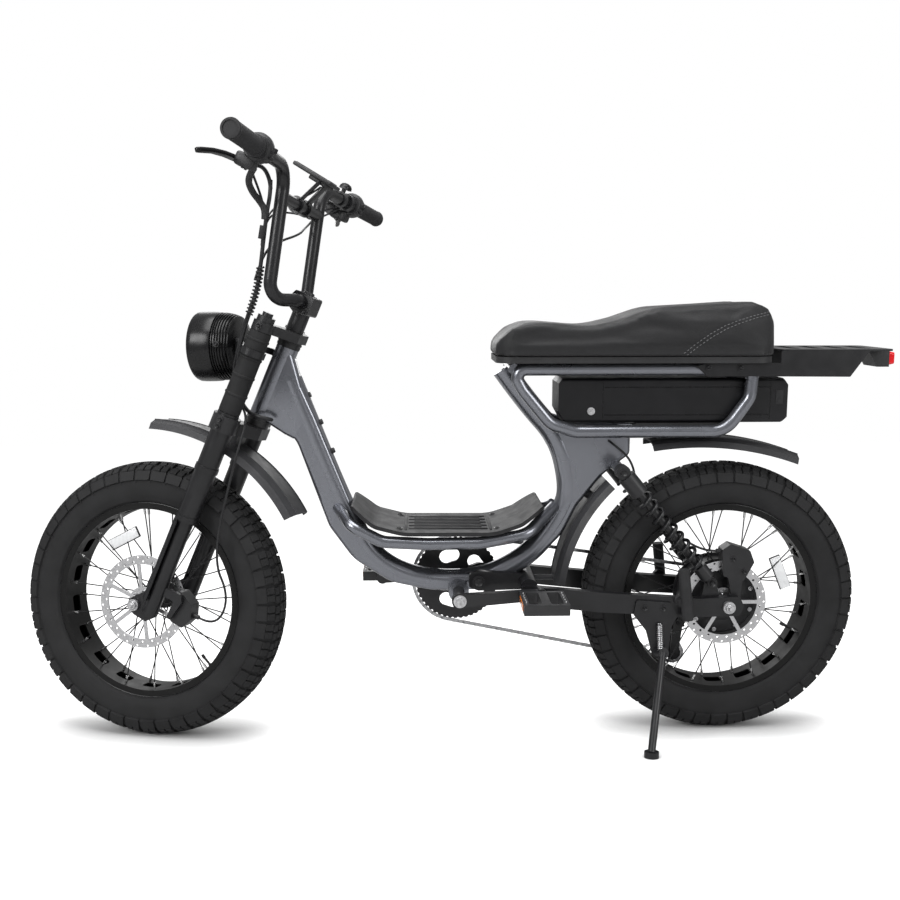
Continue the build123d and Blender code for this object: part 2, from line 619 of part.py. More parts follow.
with BuildPart() as display:
    slope = Vector(DISPLAY_FRONT[0] - DISPLAY_REAR[0], 0, DISPLAY_FRONT[1] - DISPLAY_REAR[1])
    face_plane = Plane(origin=(DISPLAY_REAR[0], 0, DISPLAY_REAR[1]), x_dir=slope,
                       z_dir=slope.cross(Vector(0, 1, 0)))
    with BuildSketch(face_plane):
        with Locations((slope.length / 2, 0)):
            RectangleRounded(slope.length, 62, 9)
    extrude(amount=-14)
    fillet(edges().group_by(Axis.Z)[-1], 1.5)
    with BuildSketch(side_plane(16)):
        with Locations((brace_x, BRACE_AT)):
            Circle(BRACE_RADIUS + 7)
        with BuildLine():
            Polyline((brace_x - 16, BRACE_AT + 8), (brace_x + 16, BRACE_AT + 8),
                     (brace_x + 14, BRACE_AT + 70), (brace_x - 22, BRACE_AT + 70), close=True)
        make_face()
        with Locations((brace_x, BRACE_AT)):
            Circle(BRACE_RADIUS + 0.1, mode=Mode.SUBTRACT)
    extrude(amount=32)
finish(display, "display", STEERED)

bell_at, bell_way = bar_spot(RIGHT, GRIP_LENGTH + 92)
with BuildPart() as bell:
    with BuildSketch(Plane(origin=bell_at, z_dir=bell_way)):
        Circle(BAR_RADIUS + 4)
        Circle(BAR_RADIUS + 0.1, mode=Mode.SUBTRACT)
    extrude(amount=12)
    dome = bell_at + bell_way * 6 + Vector(0, 0, BAR_RADIUS + 3)
    with BuildSketch(Plane(origin=dome, z_dir=(0, 0, 1))):
        Circle(5)
    extrude(amount=8)
    with BuildSketch(Plane(origin=dome + Vector(0, 0, 8), z_dir=(0, 0, 1))):
        Circle(13)
    extrude(amount=12, taper=22)
finish(bell, "bell", STEERED)

# Headlamp: a bowl with cooling fins behind it, facing level ahead
ahead = Vector(cos(radians(RAKE)), 0, -sin(radians(RAKE)))
lamp_centre = Vector(LAMP_AT[0], 0, LAMP_AT[1])
with BuildPart() as headlamp_body:
    with BuildSketch(Plane(origin=lamp_centre - ahead * 4, z_dir=-ahead)):
        Circle(LAMP_RADIUS)
    extrude(amount=44)
    with BuildSketch(Plane(origin=lamp_centre - ahead * 48, z_dir=-ahead)):
        Circle(LAMP_RADIUS - 3)
    extrude(amount=LAMP_DEPTH - 48, taper=14)
    for fin in range(5):
        with BuildSketch(Plane(origin=lamp_centre - ahead * (60 + fin * 13), z_dir=-ahead)):
            Circle(LAMP_RADIUS)
            Circle(LAMP_RADIUS - 20 - 3 * fin, mode=Mode.SUBTRACT)
        extrude(amount=6, mode=Mode.SUBTRACT)
    with BuildSketch(Plane(origin=lamp_centre - ahead * 4, z_dir=-ahead)):
        Circle(LAMP_RADIUS - 5)
    extrude(amount=18, mode=Mode.SUBTRACT)
finish(headlamp_body, "headlamp_body", STEERED)

with BuildPart() as headlamp_lens:
    with BuildSketch(Plane(origin=lamp_centre - ahead * 22, z_dir=ahead)):
        Circle(LAMP_RADIUS - 5)
    extrude(amount=18)
    with BuildSketch(Plane(origin=lamp_centre - ahead * 4, z_dir=ahead)):
        Circle(LAMP_RADIUS - 6)
    extrude(amount=4, taper=30)
finish(headlamp_lens, "headlamp_lens", STEERED)

lamp_back = lamp_centre - ahead * LAMP_DEPTH
with BuildPart() as headlamp_bracket:
    for side in (LEFT, RIGHT):
        y = side * leg_side
        ring_sketch(LEG_AHEAD, y, LAMP_BRACKET_AT, SLEEVE_RING_RADIUS + 4, LAMP_BRACKET_THICK,
                    SLEEVE_RING_RADIUS + 0.1)
        with BuildSketch(Plane.XY.offset(LAMP_BRACKET_AT)):
            with BuildLine():
                Polyline((LEG_AHEAD + SLEEVE_RING_RADIUS, y + side * 8), (lamp_back.X - 6, side * 34),
                         (lamp_back.X - 6, side * 22), (LEG_AHEAD + SLEEVE_RING_RADIUS + 2, y - side * 12),
                         close=True)
            make_face()
        extrude(amount=LAMP_BRACKET_THICK)
    with BuildSketch(Plane(origin=lamp_back - ahead * SEAT_GAP, x_dir=(0, 1, 0), z_dir=-ahead)):
        RectangleRounded(72, 34, 8)
    extrude(amount=9)
finish(headlamp_bracket, "headlamp_bracket", STEERED)

# Fenders: a bent sheet, round in section, swept about the hub


def fender_arc(hub_x, hub_z, radius, first, last):
    """A curved sheet over a tyre: its crown at this radius, between two angles about the hub."""
    half = FENDER_WIDTH / 2
    with BuildSketch(Plane(origin=(hub_x, 0, hub_z), x_dir=(0, 1, 0),
                           z_dir=(sin(radians(first)), 0, -cos(radians(first))))) as section:
        with BuildLine():
            Polyline((-half, radius - 20), (-half + 8, radius - 7), (-half + 26, radius),
                     (half - 26, radius), (half - 8, radius - 7), (half, radius - 20),
                     (half - FENDER_THICK, radius - 20), (half - 9.5, radius - 7 - FENDER_THICK),
                     (half - 27, radius - FENDER_THICK), (27 - half, radius - FENDER_THICK),
                     (9.5 - half, radius - 7 - FENDER_THICK), (FENDER_THICK - half, radius - 20), close=True)
        make_face()
    revolve(section.sketch, axis=Axis((hub_x, 0, hub_z), (0, -1, 0)), revolution_arc=last - first)


with BuildPart() as front_fender:
    fender_arc(FORK_OFFSET, 0, FRONT_FENDER_RADIUS, 92 - RAKE, 150 - RAKE)
    with BuildSketch(Plane.XY.offset(FRONT_FENDER_RADIUS - 6)):
        with Locations((LEG_AHEAD, 0)):
            Rectangle(26, 48)
    extrude(amount=LOWER_CROWN[0] - SEAT_GAP - FRONT_FENDER_RADIUS + 6)
finish(front_fender, "front_fender", STEERED)

with BuildPart() as rear_fender_front:
    fender_arc(0, TYRE_RADIUS, REAR_FENDER_RADIUS, 6, 46)
    rod((REAR_FENDER_RADIUS * cos(radians(7)) - 3, 0, ARM_CROSS[1]),
        (ARM_CROSS[0] - ARM_CROSS_RADIUS - SEAT_GAP, 0, ARM_CROSS[1]), 6)
    back = (Vector(SPINE_BACK[1]) - Vector(SPINE_BACK[0])).normalized()
    out = Vector(back.Y, 0, -back.X)
    spine_gap = out.X * SPINE_BACK[0][0] + out.Z * (SPINE_BACK[0][1] - TYRE_RADIUS)
    rod(Vector(0, 0, TYRE_RADIUS) + out * (REAR_FENDER_RADIUS - 2),
        Vector(0, 0, TYRE_RADIUS) + out * (spine_gap - SEAT_GAP), 10)
finish(rear_fender_front, "rear_fender_front", STANDING)

with BuildPart() as rear_fender_rear:
    fender_arc(*REAR_FENDER_CENTRE, REAR_FENDER_BEND, 81, 110)
    with BuildSketch(Plane.XY.offset(REAR_FENDER_CENTRE[1] + REAR_FENDER_BEND - 6)):
        with Locations((110, 0)):
            Rectangle(70, 60)
    extrude(amount=LOOP_LOW + 8 - SEAT_GAP - REAR_FENDER_CENTRE[1] - REAR_FENDER_BEND + 6)
finish(rear_fender_rear, "rear_fender_rear", STANDING)

# Main frame: head tube, down tube, belly tube and seat spine are one welded member
head_low = bike_of_fork(0, HEAD_TUBE[0])
head_high = bike_of_fork(0, HEAD_TUBE[1])
belly_top = BELLY_HEIGHT + TUBE_DEPTH
reach = head_low[0]
# Each corner of its outline and the bend there: down the seat spine, forward under the board, up to the
# head tube, and back along the outside
outline = (((500, LOOP_TOP), 14), ((372, 640), 160), ((352, 552), 80), ((359, 504), 90), ((423, 412), 90),
           ((523, belly_top), 90), ((reach - 344, belly_top), 90), ((reach - 258, 398), 90),
           ((reach - 206, 484), 60), ((reach - 121, 699), 300), ((head_high[0] - 4, head_high[1] - 22), 17),
           ((reach, head_low[1] + 14), 16), ((reach - 42, 700), 30), ((reach - 80, 644), 60),
           ((reach - 144, 463), 60), ((reach - 196, 390), 90), ((reach - 276, 338), 90),
           ((reach - 364, BELLY_HEIGHT), 90), ((524, BELLY_HEIGHT), 90), ((418, 370), 90), ((345, 444), 90),
           (SPINE_BACK[0], 60), (SPINE_BACK[1], 90), ((203, 618), 16), ((203, LOOP_LOW), 16), ((345, 680), 80),
           ((402, 712), 60), ((444, 772), 30), ((460, LOOP_TOP), 14))
with BuildPart() as main_frame:
    with BuildSketch(side_plane(FRAME_WIDTH / 2)):
        with BuildLine():
            FilletPolyline(*[corner for corner, bend in outline], radius=[bend for corner, bend in outline],
                           close=True)
        make_face()
    extrude(amount=FRAME_WIDTH)
    fillet(faces().filter_by(Axis.Y).edges(), FRAME_ROUNDING)
    rod((head_low[0], 0, head_low[1]), (head_high[0], 0, head_high[1]), HEAD_TUBE_RADIUS)
    rod((head_low[0], 0, head_low[1]), (head_high[0], 0, head_high[1]), STEERER_RADIUS + 1, mode=Mode.SUBTRACT)
    rod((BB_AT[0], BB_WIDTH / 2, BB_AT[1]), (BB_AT[0], -BB_WIDTH / 2, BB_AT[1]), BB_RADIUS)
    rod((PIVOT_AT[0], YOKE_INNER - SEAT_GAP, PIVOT_AT[1]), (PIVOT_AT[0], SEAT_GAP - YOKE_INNER, PIVOT_AT[1]),
        PIVOT_RADIUS)
    rod((BB_AT[0], BB_WIDTH / 2, BB_AT[1]), (BB_AT[0], -BB_WIDTH / 2, BB_AT[1]), 12.3, mode=Mode.SUBTRACT)
    shock_top = (233.0, 592.0)
    shock_pin = SHOCK_SPACING / 2 - 14 - SEAT_GAP
    rod((shock_top[0], shock_pin, shock_top[1]), (shock_top[0], -shock_pin, shock_top[1]), 11)
finish(main_frame, "main_frame", STANDING)

with BuildPart() as headset:
    for low, high in ((LOWER_CROWN[1] - 8, HEAD_TUBE[0]), (HEAD_TUBE[1], UPPER_CROWN[0])):
        ring_sketch(0, 0, low + SEAT_GAP, HEAD_TUBE_RADIUS + 1, high - low - 2 * SEAT_GAP, STEERER_RADIUS + SEAT_GAP)
finish(headset, "headset", STANDING * FORK)

with BuildPart() as seat_loops:
    for side in (LEFT, RIGHT):
        y = side * LOOP_SPACING / 2
        tube_along([(465, y, LOOP_TOP), (440, y, 760), (382, y, 690), (330, y, LOOP_LOW),
                    (15, y, LOOP_LOW), (-36, y, 745), (-40, y, LOOP_TOP)],
                   [18, 60, 50, 50, 56, 40, 18], LOOP_RADIUS, closed=True)
    for x, z in ((384, 694), (460, LOOP_TOP)):
        rod((x, LOOP_SPACING / 2, z), (x, -LOOP_SPACING / 2, z), 11)
    add(main_frame.part, mode=Mode.SUBTRACT)
finish(seat_loops, "seat_loops", STANDING)

with BuildPart() as side_rails:
    for side in (LEFT, RIGHT):
        y = side * RAIL_SPACING / 2
        near = side * 14
        tube_along([(reach - 164, near, 505), (reach - 196, y, 478), (reach - 261, y, 444),
                    (reach - 356, y + side * 0.5, RAIL_LOW),
                    (530, y, RAIL_LOW + 1), (430, y, 458), (365, near, 503)],
                   [30, 60, 90, 90, 50], RAIL_RADIUS)
    add(main_frame.part, mode=Mode.SUBTRACT)
finish(side_rails, "side_rails", STANDING)

with BuildPart() as footboard:
    with BuildSketch(side_plane(BOARD_WIDTH / 2)):
        with BuildLine():
            FilletPolyline((reach - 198, BOARD_TOP + 53), (reach - 244, BOARD_TOP + 16), (reach - 306, BOARD_TOP),
                           (500, BOARD_TOP - 1), (444, BOARD_TOP + 18), (398, BOARD_TOP + 50),
                           radius=[50, 120, 120, 50])
            offset(amount=BOARD_THICK / 2, side=Side.BOTH)
        make_face()
    extrude(amount=BOARD_WIDTH)
    with BuildSketch(Plane.XY.offset(BOARD_TOP - 20)):
        with Locations(((reach - 183 + 383) / 2, 0)):
            RectangleRounded(reach - 183 - 383, BOARD_WIDTH, 60)
    extrude(amount=90, mode=Mode.INTERSECT)
finish(footboard, "footboard", STANDING)

# Swingarm: a yoke at the pivot, a cross tube and two arms, and the rear axle in its slots
arm_outer = ARM_SPACING / 2 + ARM_THICK / 2
shock_low = (36.0, 352.0)
lug_outer = SHOCK_SPACING / 2 - 6 - SEAT_GAP
with BuildPart() as swingarm:
    for side in (LEFT, RIGHT):
        with BuildSketch(side_plane(side * ARM_SPACING / 2 + ARM_THICK / 2)):
            with BuildLine():
                Polyline((ARM_CROSS[0] + 20, ARM_CROSS[1] + 8), (270, 333), (60, 318), (-24, 322), (-34, 300),
                         (-24, 280), (60, 278), (270, 290), (ARM_CROSS[0] + 10, ARM_CROSS[1] - 34), close=True)
            make_face()
            fillet(vertices(), 8)
        extrude(amount=ARM_THICK)
        with BuildSketch(side_plane(side * (YOKE_INNER + YOKE_THICK / 2) + YOKE_THICK / 2)):
            with BuildLine():
                Polyline((PIVOT_AT[0] + 20, PIVOT_AT[1] + 14), (PIVOT_AT[0], PIVOT_AT[1] + 22),
                         (ARM_CROSS[0] - 10, ARM_CROSS[1] + 16), (ARM_CROSS[0] - 12, ARM_CROSS[1] - 16),
                         (PIVOT_AT[0], PIVOT_AT[1] - 22), (PIVOT_AT[0] + 20, PIVOT_AT[1] - 14), close=True)
            make_face()
            fillet(vertices(), 6)
        extrude(amount=YOKE_THICK)
        with BuildSketch(side_plane(side * (lug_outer - 3) + 3)):
            with BuildLine():
                Polyline((16, 312), (56, 312), (shock_low[0] + 13, shock_low[1]), (shock_low[0], shock_low[1] + 13),
                         (shock_low[0] - 13, shock_low[1]), close=True)
            make_face()
        extrude(amount=6)
    rod((ARM_CROSS[0], arm_inner + 2, ARM_CROSS[1]), (ARM_CROSS[0], -arm_inner - 2, ARM_CROSS[1]),
        ARM_CROSS_RADIUS)
    rod((0, arm_outer, TYRE_RADIUS), (0, -arm_outer, TYRE_RADIUS), REAR_AXLE_RADIUS, mode=Mode.SUBTRACT)
finish(swingarm, "swingarm", STANDING)

with BuildPart() as rear_axle:
    rod((0, arm_outer + 10, TYRE_RADIUS), (0, -arm_outer - 10, TYRE_RADIUS), REAR_AXLE_RADIUS)
    for side in (LEFT, RIGHT):
        rod((0, side * arm_outer, TYRE_RADIUS), (0, side * (arm_outer + 9), TYRE_RADIUS), 13)
finish(rear_axle, "rear_axle", STANDING)

# Shock absorbers: a damper body and a coil spring each side
SPRING_TURNS = 9
SPRING_RADIUS = 20.0
SPRING_WIRE = 3.8
DAMPER_RADIUS = 9.0
SPRING_SEATS = (50.0, 64.0)
with BuildPart() as shocks:
    for side in (LEFT, RIGHT):
        y = side * SHOCK_SPACING / 2
        bottom = Vector(shock_low[0], y, shock_low[1])
        top = Vector(shock_top[0], y, shock_top[1])
        way = (top - bottom).normalized()
        rod(bottom + way * 10.3, top - way * 6, DAMPER_RADIUS)
        rod(top - way * (SPRING_SEATS[1] - 4), top - way * 13, SPRING_RADIUS - 1)
        rod(bottom + way * 15, bottom + way * (SPRING_SEATS[0] - 4), 15)
        rod(top + Vector(0, 14, 0), top - Vector(0, 14, 0), 15)
        rod(bottom + Vector(0, 6, 0), bottom - Vector(0, 6, 0), 11)
finish(shocks, "shocks", STANDING)

coil_radius = SPRING_RADIUS - SPRING_WIRE
with BuildPart() as springs:
    for side in (LEFT, RIGHT):
        y = side * SHOCK_SPACING / 2
        bottom = Vector(shock_low[0], y, shock_low[1])
        way = (Vector(shock_top[0], y, shock_top[1]) - bottom).normalized()
        length = (Vector(shock_top[0], y, shock_top[1]) - bottom).length
        coil_length = length - sum(SPRING_SEATS) + 8 - 2 * (SPRING_WIRE + SEAT_GAP)
        foot = bottom + way * (SPRING_SEATS[0] - 4 + SPRING_WIRE + SEAT_GAP)
        with BuildLine() as turns:
            Helix(coil_length / SPRING_TURNS, coil_length, coil_radius, center=foot, direction=way)
        with BuildSketch(Plane(origin=turns.line @ 0, z_dir=turns.line % 0)) as wire:
            Circle(SPRING_WIRE)
        sweep(wire.sketch, path=turns.wires()[0], is_frenet=True)
finish(springs, "springs", STANDING)

# Battery, slid in between the seat loops
with BuildPart() as battery:
    with BuildSketch(side_plane(BATTERY[1] / 2)):
        with BuildLine():
            Polyline((BATTERY_REAR, BATTERY_LOW + 12), (BATTERY_REAR, BATTERY_LOW + BATTERY[2] - 14),
                     (BATTERY_REAR + 10, BATTERY_LOW + BATTERY[2]),
                     (BATTERY_REAR + BATTERY[0] - 8, BATTERY_LOW + BATTERY[2]),
                     (BATTERY_REAR + BATTERY[0], BATTERY_LOW + BATTERY[2] - 10),
                     (BATTERY_REAR + BATTERY[0], BATTERY_LOW + 26),
                     (BATTERY_REAR + BATTERY[0] - 14, BATTERY_LOW), (BATTERY_REAR + 12, BATTERY_LOW), close=True)
        make_face()
    extrude(amount=BATTERY[1])
    fillet(edges().filter_by(Axis.X), 8)
    add(main_frame.part, mode=Mode.SUBTRACT)
finish(battery, "battery", STANDING)

tray_top = BATTERY_LOW - SEAT_GAP
with BuildPart() as battery_tray:
    with BuildSketch(Plane.XY.offset(LOOP_LOW + 8)):
        with Locations((105, 0)):
            Rectangle(190, LOOP_SPACING - 2 * LOOP_RADIUS - 1)
    extrude(amount=tray_top - LOOP_LOW - 8)
    add(main_frame.part, mode=Mode.SUBTRACT)
finish(battery_tray, "battery_tray", STANDING)

# Seat: a pan on the loops and one soft cushion
with BuildPart() as seat_base:
    with BuildSketch(Plane.XY.offset(LOOP_TOP + LOOP_RADIUS)):
        with Locations(((SEAT_FRONT + SEAT_REAR) / 2, 0)):
            RectangleRounded(SEAT_FRONT - SEAT_REAR - 16, SEAT_WIDTH - 24, 36)
    extrude(amount=SEAT_LOW - SEAT_GAP - LOOP_TOP - LOOP_RADIUS)
finish(seat_base, "seat_base", STANDING)

with BuildPart() as seat_cushion:
    with BuildSketch(side_plane(SEAT_WIDTH / 2)):
        with BuildLine():
            FilletPolyline((SEAT_FRONT, SEAT_LOW), (SEAT_FRONT - 4, 862), (SEAT_FRONT - 38, 894),
                           (SEAT_FRONT - 88, 899), (308, 890), (242, 905), (176, 929), (-40, 942), (-66, 934),
                           (-80, 905), (SEAT_REAR, 850), (SEAT_REAR + 2, SEAT_LOW),
                           radius=[4, 30, 40, 200, 160, 200, 160, 30, 20, 60, 60, 4], close=True)
        make_face()
    extrude(amount=SEAT_WIDTH)
    with BuildSketch(Plane.XY.offset(SEAT_LOW)):
        with Locations(((SEAT_FRONT + SEAT_REAR) / 2, 0)):
            RectangleRounded(SEAT_FRONT - SEAT_REAR, SEAT_WIDTH, 50)
    extrude(amount=130, mode=Mode.INTERSECT)
finish(seat_cushion, "seat_cushion", STANDING)

# Rear rack: a deck and two side plates bolted to the loops, and the tail lamp under its end
plate_y = LOOP_SPACING / 2 + LOOP_RADIUS + SEAT_GAP
deck_top = 846.0
with BuildPart() as rear_rack:
    for side in (LEFT, RIGHT):
        inner = plate_y if side == LEFT else -plate_y - 4
        with BuildSketch(side_plane(inner + 4)):
            with BuildLine():
                Polyline((84, 812), (62, 791), (-238, 789), (-276, deck_top - 4), (SEAT_REAR - 6, deck_top - 4),
                         (SEAT_REAR - 6, LOOP_TOP + LOOP_RADIUS - 1), (60, LOOP_TOP + LOOP_RADIUS - 1), close=True)
            make_face()
        extrude(amount=4)
    with BuildSketch(Plane.XY.offset(deck_top - 4)):
        with Locations((-211, 0)):
            RectangleRounded(238, 2 * plate_y + 8, 16)
        with Locations([(-135 - 50 * number, 0) for number in range(4)]):
            RectangleRounded(22, 110, 9, mode=Mode.SUBTRACT)
    extrude(amount=4)
finish(rear_rack, "rear_rack", STANDING)

with BuildPart() as tail_lamp:
    with BuildSketch(side_plane(34)):
        with BuildLine():
            Polyline((-296, deck_top - 4 - SEAT_GAP), (-343, deck_top - 4 - SEAT_GAP), (-343, 806), (-318, 806),
                     close=True)
        make_face()
    extrude(amount=68)
finish(tail_lamp, "tail_lamp", STANDING)

with BuildPart() as tail_lens:
    with BuildSketch(Plane(origin=(-343 - SEAT_GAP, 0, 824), x_dir=(0, 1, 0), z_dir=(-1, 0, 0))):
        RectangleRounded(62, 30, 7)
    extrude(amount=13, taper=12)
finish(tail_lens, "tail_lens", STANDING)

# Passenger pegs, folded up against the swingarm
PEG_AT = (104.0, 316.0)
with BuildPart() as foot_pegs:
    for side in (LEFT, RIGHT):
        outer = side * (arm_outer + SEAT_GAP)
        rod((PEG_AT[0], outer, PEG_AT[1]), (PEG_AT[0], outer + side * 12, PEG_AT[1]), 13)
        rod((PEG_AT[0], outer + side * 22, 388), (PEG_AT[0] - 12, outer + side * 22, 280), 12)
        rod((PEG_AT[0], outer + side * 8, PEG_AT[1]), (PEG_AT[0], outer + side * 22, PEG_AT[1]), 9)
finish(foot_pegs, "foot_pegs", STANDING)

# Drive side: bottom bracket axle with chainring and cranks, chain and derailleur
CRANK = STANDING * Location((BB_AT[0], 0, BB_AT[1]))
with BuildPart() as chainring:
    with BuildSketch(side_plane(CHAIN_LINE + 1.5)):
        Circle(CHAINRING_RADIUS)
        with PolarLocations(CHAINRING_RADIUS + 1, 47):
            Circle(3.4, mode=Mode.SUBTRACT)
        with PolarLocations(54, 5):
            SlotOverall(46, 30, rotation=90, mode=Mode.SUBTRACT)
        Circle(12, mode=Mode.SUBTRACT)
    extrude(amount=3)
    with BuildSketch(side_plane(CHAIN_LINE - 1.5)):
        Circle(30)
        Circle(12, mode=Mode.SUBTRACT)
    extrude(amount=CRANK_INNER + CHAIN_LINE - 1.5 - SEAT_GAP)
finish(chainring, "chainring", CRANK)

PEDAL_TIPS = {}
with BuildPart() as cranks:
    rod((0, CRANK_INNER + 1, 0), (0, -CRANK_INNER - 1, 0), 11.7)
    for side in (LEFT, RIGHT):
        angle = radians(CRANK_ANGLE + (0 if side == LEFT else 180))
        tip = (CRANK_LENGTH * cos(angle), -CRANK_LENGTH * sin(angle))
        PEDAL_TIPS[side] = tip
        near_y = side * CRANK_INNER
        with BuildSketch(Plane(origin=(0, near_y, 0), x_dir=(1, 0, 0), z_dir=(0, side, 0))):
            with Locations((0, 0)):
                Circle(17)
            with Locations((tip[0], -side * tip[1])):
                Circle(13)
            with BuildLine():
                across = Vector(-tip[1], tip[0]).normalized()
                Polyline((across.X * 14, -side * across.Y * 14),
                         (tip[0] + across.X * 11, -side * (tip[1] + across.Y * 11)),
                         (tip[0] - across.X * 11, -side * (tip[1] - across.Y * 11)),
                         (-across.X * 14, side * across.Y * 14), close=True)
            make_face()
        extrude(amount=CRANK_THICK)
finish(cranks, "cranks", CRANK)

for side_name, side in SIDES:
    pedal_place = CRANK * Location((PEDAL_TIPS[side][0], 0, PEDAL_TIPS[side][1]))
    length, width, thick = PEDAL_SIZE
    with BuildPart() as pedal:
        inner = side * (PEDAL_AT + 4)
        with BuildSketch(Plane.XY.offset(-thick / 2)):
            with Locations((0, inner + side * width / 2)):
                Rectangle(length, width)
                with Locations((length / 4 - 1, 0), (1 - length / 4, 0)):
                    RectangleRounded(length / 2 - 20, width - 18, 6, mode=Mode.SUBTRACT)
        extrude(amount=thick)
        rod((0, side * (CRANK_INNER + CRANK_THICK + SEAT_GAP), 0), (0, inner + side * 3, 0), 8)
    finish(pedal, f"pedal_{side_name}", pedal_place)

# The chain's path: round the cog's back, ahead of the guide pulley, behind the idler, round the chainring
PULLEY_RADIUS = 17.0
GUIDE_AT = Vector(66, 214)
IDLER_AT = Vector(74, 142)
half_chain = CHAIN_DEPTH / 2 + SEAT_GAP
chain_stops = ((Vector(0, TYRE_RADIUS), SPROCKET_RADII[3] + half_chain, 1),
               (GUIDE_AT, PULLEY_RADIUS + half_chain, -1),
               (IDLER_AT, PULLEY_RADIUS + half_chain, 1),
               (Vector(*BB_AT), CHAINRING_RADIUS + half_chain, 1))


def straight_run(first, second):
    """Where the chain leaves the first wheel and meets the second one, and its heading on the way."""
    (a, ra, turn_a), (b, rb, turn_b) = first, second
    between = b - a
    heading = atan2(between.Y, between.X) - asin((turn_b * rb - turn_a * ra) / between.length)
    left = Vector(-sin(heading), cos(heading))
    return a - left * turn_a * ra, b - left * turn_b * rb, heading


with BuildPart() as chain:
    with BuildSketch(side_plane(CHAIN_LINE + CHAIN_WIDTH / 2)):
        with BuildLine():
            for number, stop in enumerate(chain_stops):
                before = straight_run(chain_stops[number - 1], stop)
                after = straight_run(stop, chain_stops[(number + 1) % len(chain_stops)])
                centre, radius, turn = stop
                swing = (turn * (after[2] - before[2])) % (2 * pi)
                middle = before[2] + turn * swing / 2
                bulge = centre + Vector(sin(middle), -cos(middle)) * turn * radius
                ThreePointArc(before[1], bulge, after[0])
                Line(after[0], after[1])
        make_face()
        offset(amount=CHAIN_DEPTH / 2)
        offset(amount=-CHAIN_DEPTH, mode=Mode.SUBTRACT)
    extrude(amount=CHAIN_WIDTH)
finish(chain, "chain", STANDING)

with BuildPart() as derailleur:
    for spot in (GUIDE_AT, IDLER_AT):
        rod((spot.X, CHAIN_LINE - 9, spot.Y), (spot.X, CHAIN_LINE + 9, spot.Y), 4)
        rod((spot.X, CHAIN_LINE - 1.5, spot.Y), (spot.X, CHAIN_LINE + 1.5, spot.Y), PULLEY_RADIUS)
    for y in (CHAIN_LINE + 9, CHAIN_LINE - 7):
        with BuildSketch(side_plane(y)):
            with BuildLine():
                Polyline((GUIDE_AT.X - 11, GUIDE_AT.Y), (GUIDE_AT.X, GUIDE_AT.Y + 12),
                         (GUIDE_AT.X + 11, GUIDE_AT.Y), (IDLER_AT.X + 10, IDLER_AT.Y),
                         (IDLER_AT.X, IDLER_AT.Y - 11), (IDLER_AT.X - 10, IDLER_AT.Y), close=True)
            make_face()
        extrude(amount=2)
    with BuildSketch(side_plane(CHAIN_LINE - 9)):
        with BuildLine():
            Polyline((GUIDE_AT.X - 12, GUIDE_AT.Y - 6), (GUIDE_AT.X + 14, GUIDE_AT.Y - 2), (44, 262), (12, 276),
                     (2, 262), (26, 236), close=True)
        make_face()
    extrude(amount=14)
finish(derailleur, "derailleur", STANDING)

# Brake calipers, astride their discs
CALIPER_GAP = 2.5


def caliper_body(outline, inner, outer):
    """A block with this side outline from y inner to outer, slotted for the disc."""
    with BuildSketch(side_plane(outer)) as body:
        with BuildLine():
            Polyline(*outline, close=True)
        make_face()
        fillet(vertices(), 5)
    extrude(body.sketch, amount=outer - inner)


with BuildPart() as front_caliper:
    caliper_body([(-2, 60), (-14, 66), (-46, 50), (-56, 20), (-44, -4), (-14, -2)], 43,
                 leg_side - 5 - SEAT_GAP)
    with BuildSketch(side_plane(FRONT_DISC_AT + CALIPER_GAP)):
        with Locations((FORK_OFFSET, 0)):
            Circle(FRONT_DISC_RADIUS + CALIPER_GAP)
    extrude(amount=DISC_THICKNESS + 2 * CALIPER_GAP, mode=Mode.SUBTRACT)
    rod((-50, 64, 28), (-66, 64, 28), 5)
finish(front_caliper, "front_caliper", STEERED)

with BuildPart() as rear_caliper:
    caliper_body([(8, 362), (12, 420), (-6, 432), (-48, 418), (-58, 392), (-36, 350)], 46,
                 arm_inner - SEAT_GAP)
    with BuildSketch(side_plane(REAR_DISC_AT + CALIPER_GAP)):
        with Locations((0, TYRE_RADIUS)):
            Circle(REAR_DISC_RADIUS + CALIPER_GAP)
    extrude(amount=DISC_THICKNESS + 2 * CALIPER_GAP, mode=Mode.SUBTRACT)
    with BuildSketch(side_plane(arm_inner - SEAT_GAP)):
        with BuildLine():
            Polyline((0, 370), (-34, 366), (-30, 306), (-14, 306), close=True)
        make_face()
    extrude(amount=8)
    rod((0, 66, 415), (22, 66, 415), 5)
finish(rear_caliper, "rear_caliper", STANDING)

# Side stand: its bracket under the left arm, and the leg, down
stand_pivot = Vector(*STAND_PIVOT)
foot_spot = (STANDING.inverse() * Location((STAND_FOOT[0], STAND_FOOT[1], 10))).position
floor_up = direction(STANDING.inverse(), (0, 0, 1))
down = foot_spot - stand_pivot
up = Vector(*STAND_FOLDED) - stand_pivot
between = down - up
stand_axis = Vector(-(between.Y + STAND_AXIS_TILT * between.Z) / between.X, 1, STAND_AXIS_TILT).normalized()
flat_down = down - stand_axis * down.dot(stand_axis)
flat_up = up - stand_axis * up.dot(stand_axis)
STAND_SWING = degrees(acos(flat_down.dot(flat_up) / flat_down.length / flat_up.length))
STAND_TURN = 1 if flat_down.cross(flat_up).dot(stand_axis) > 0 else -1

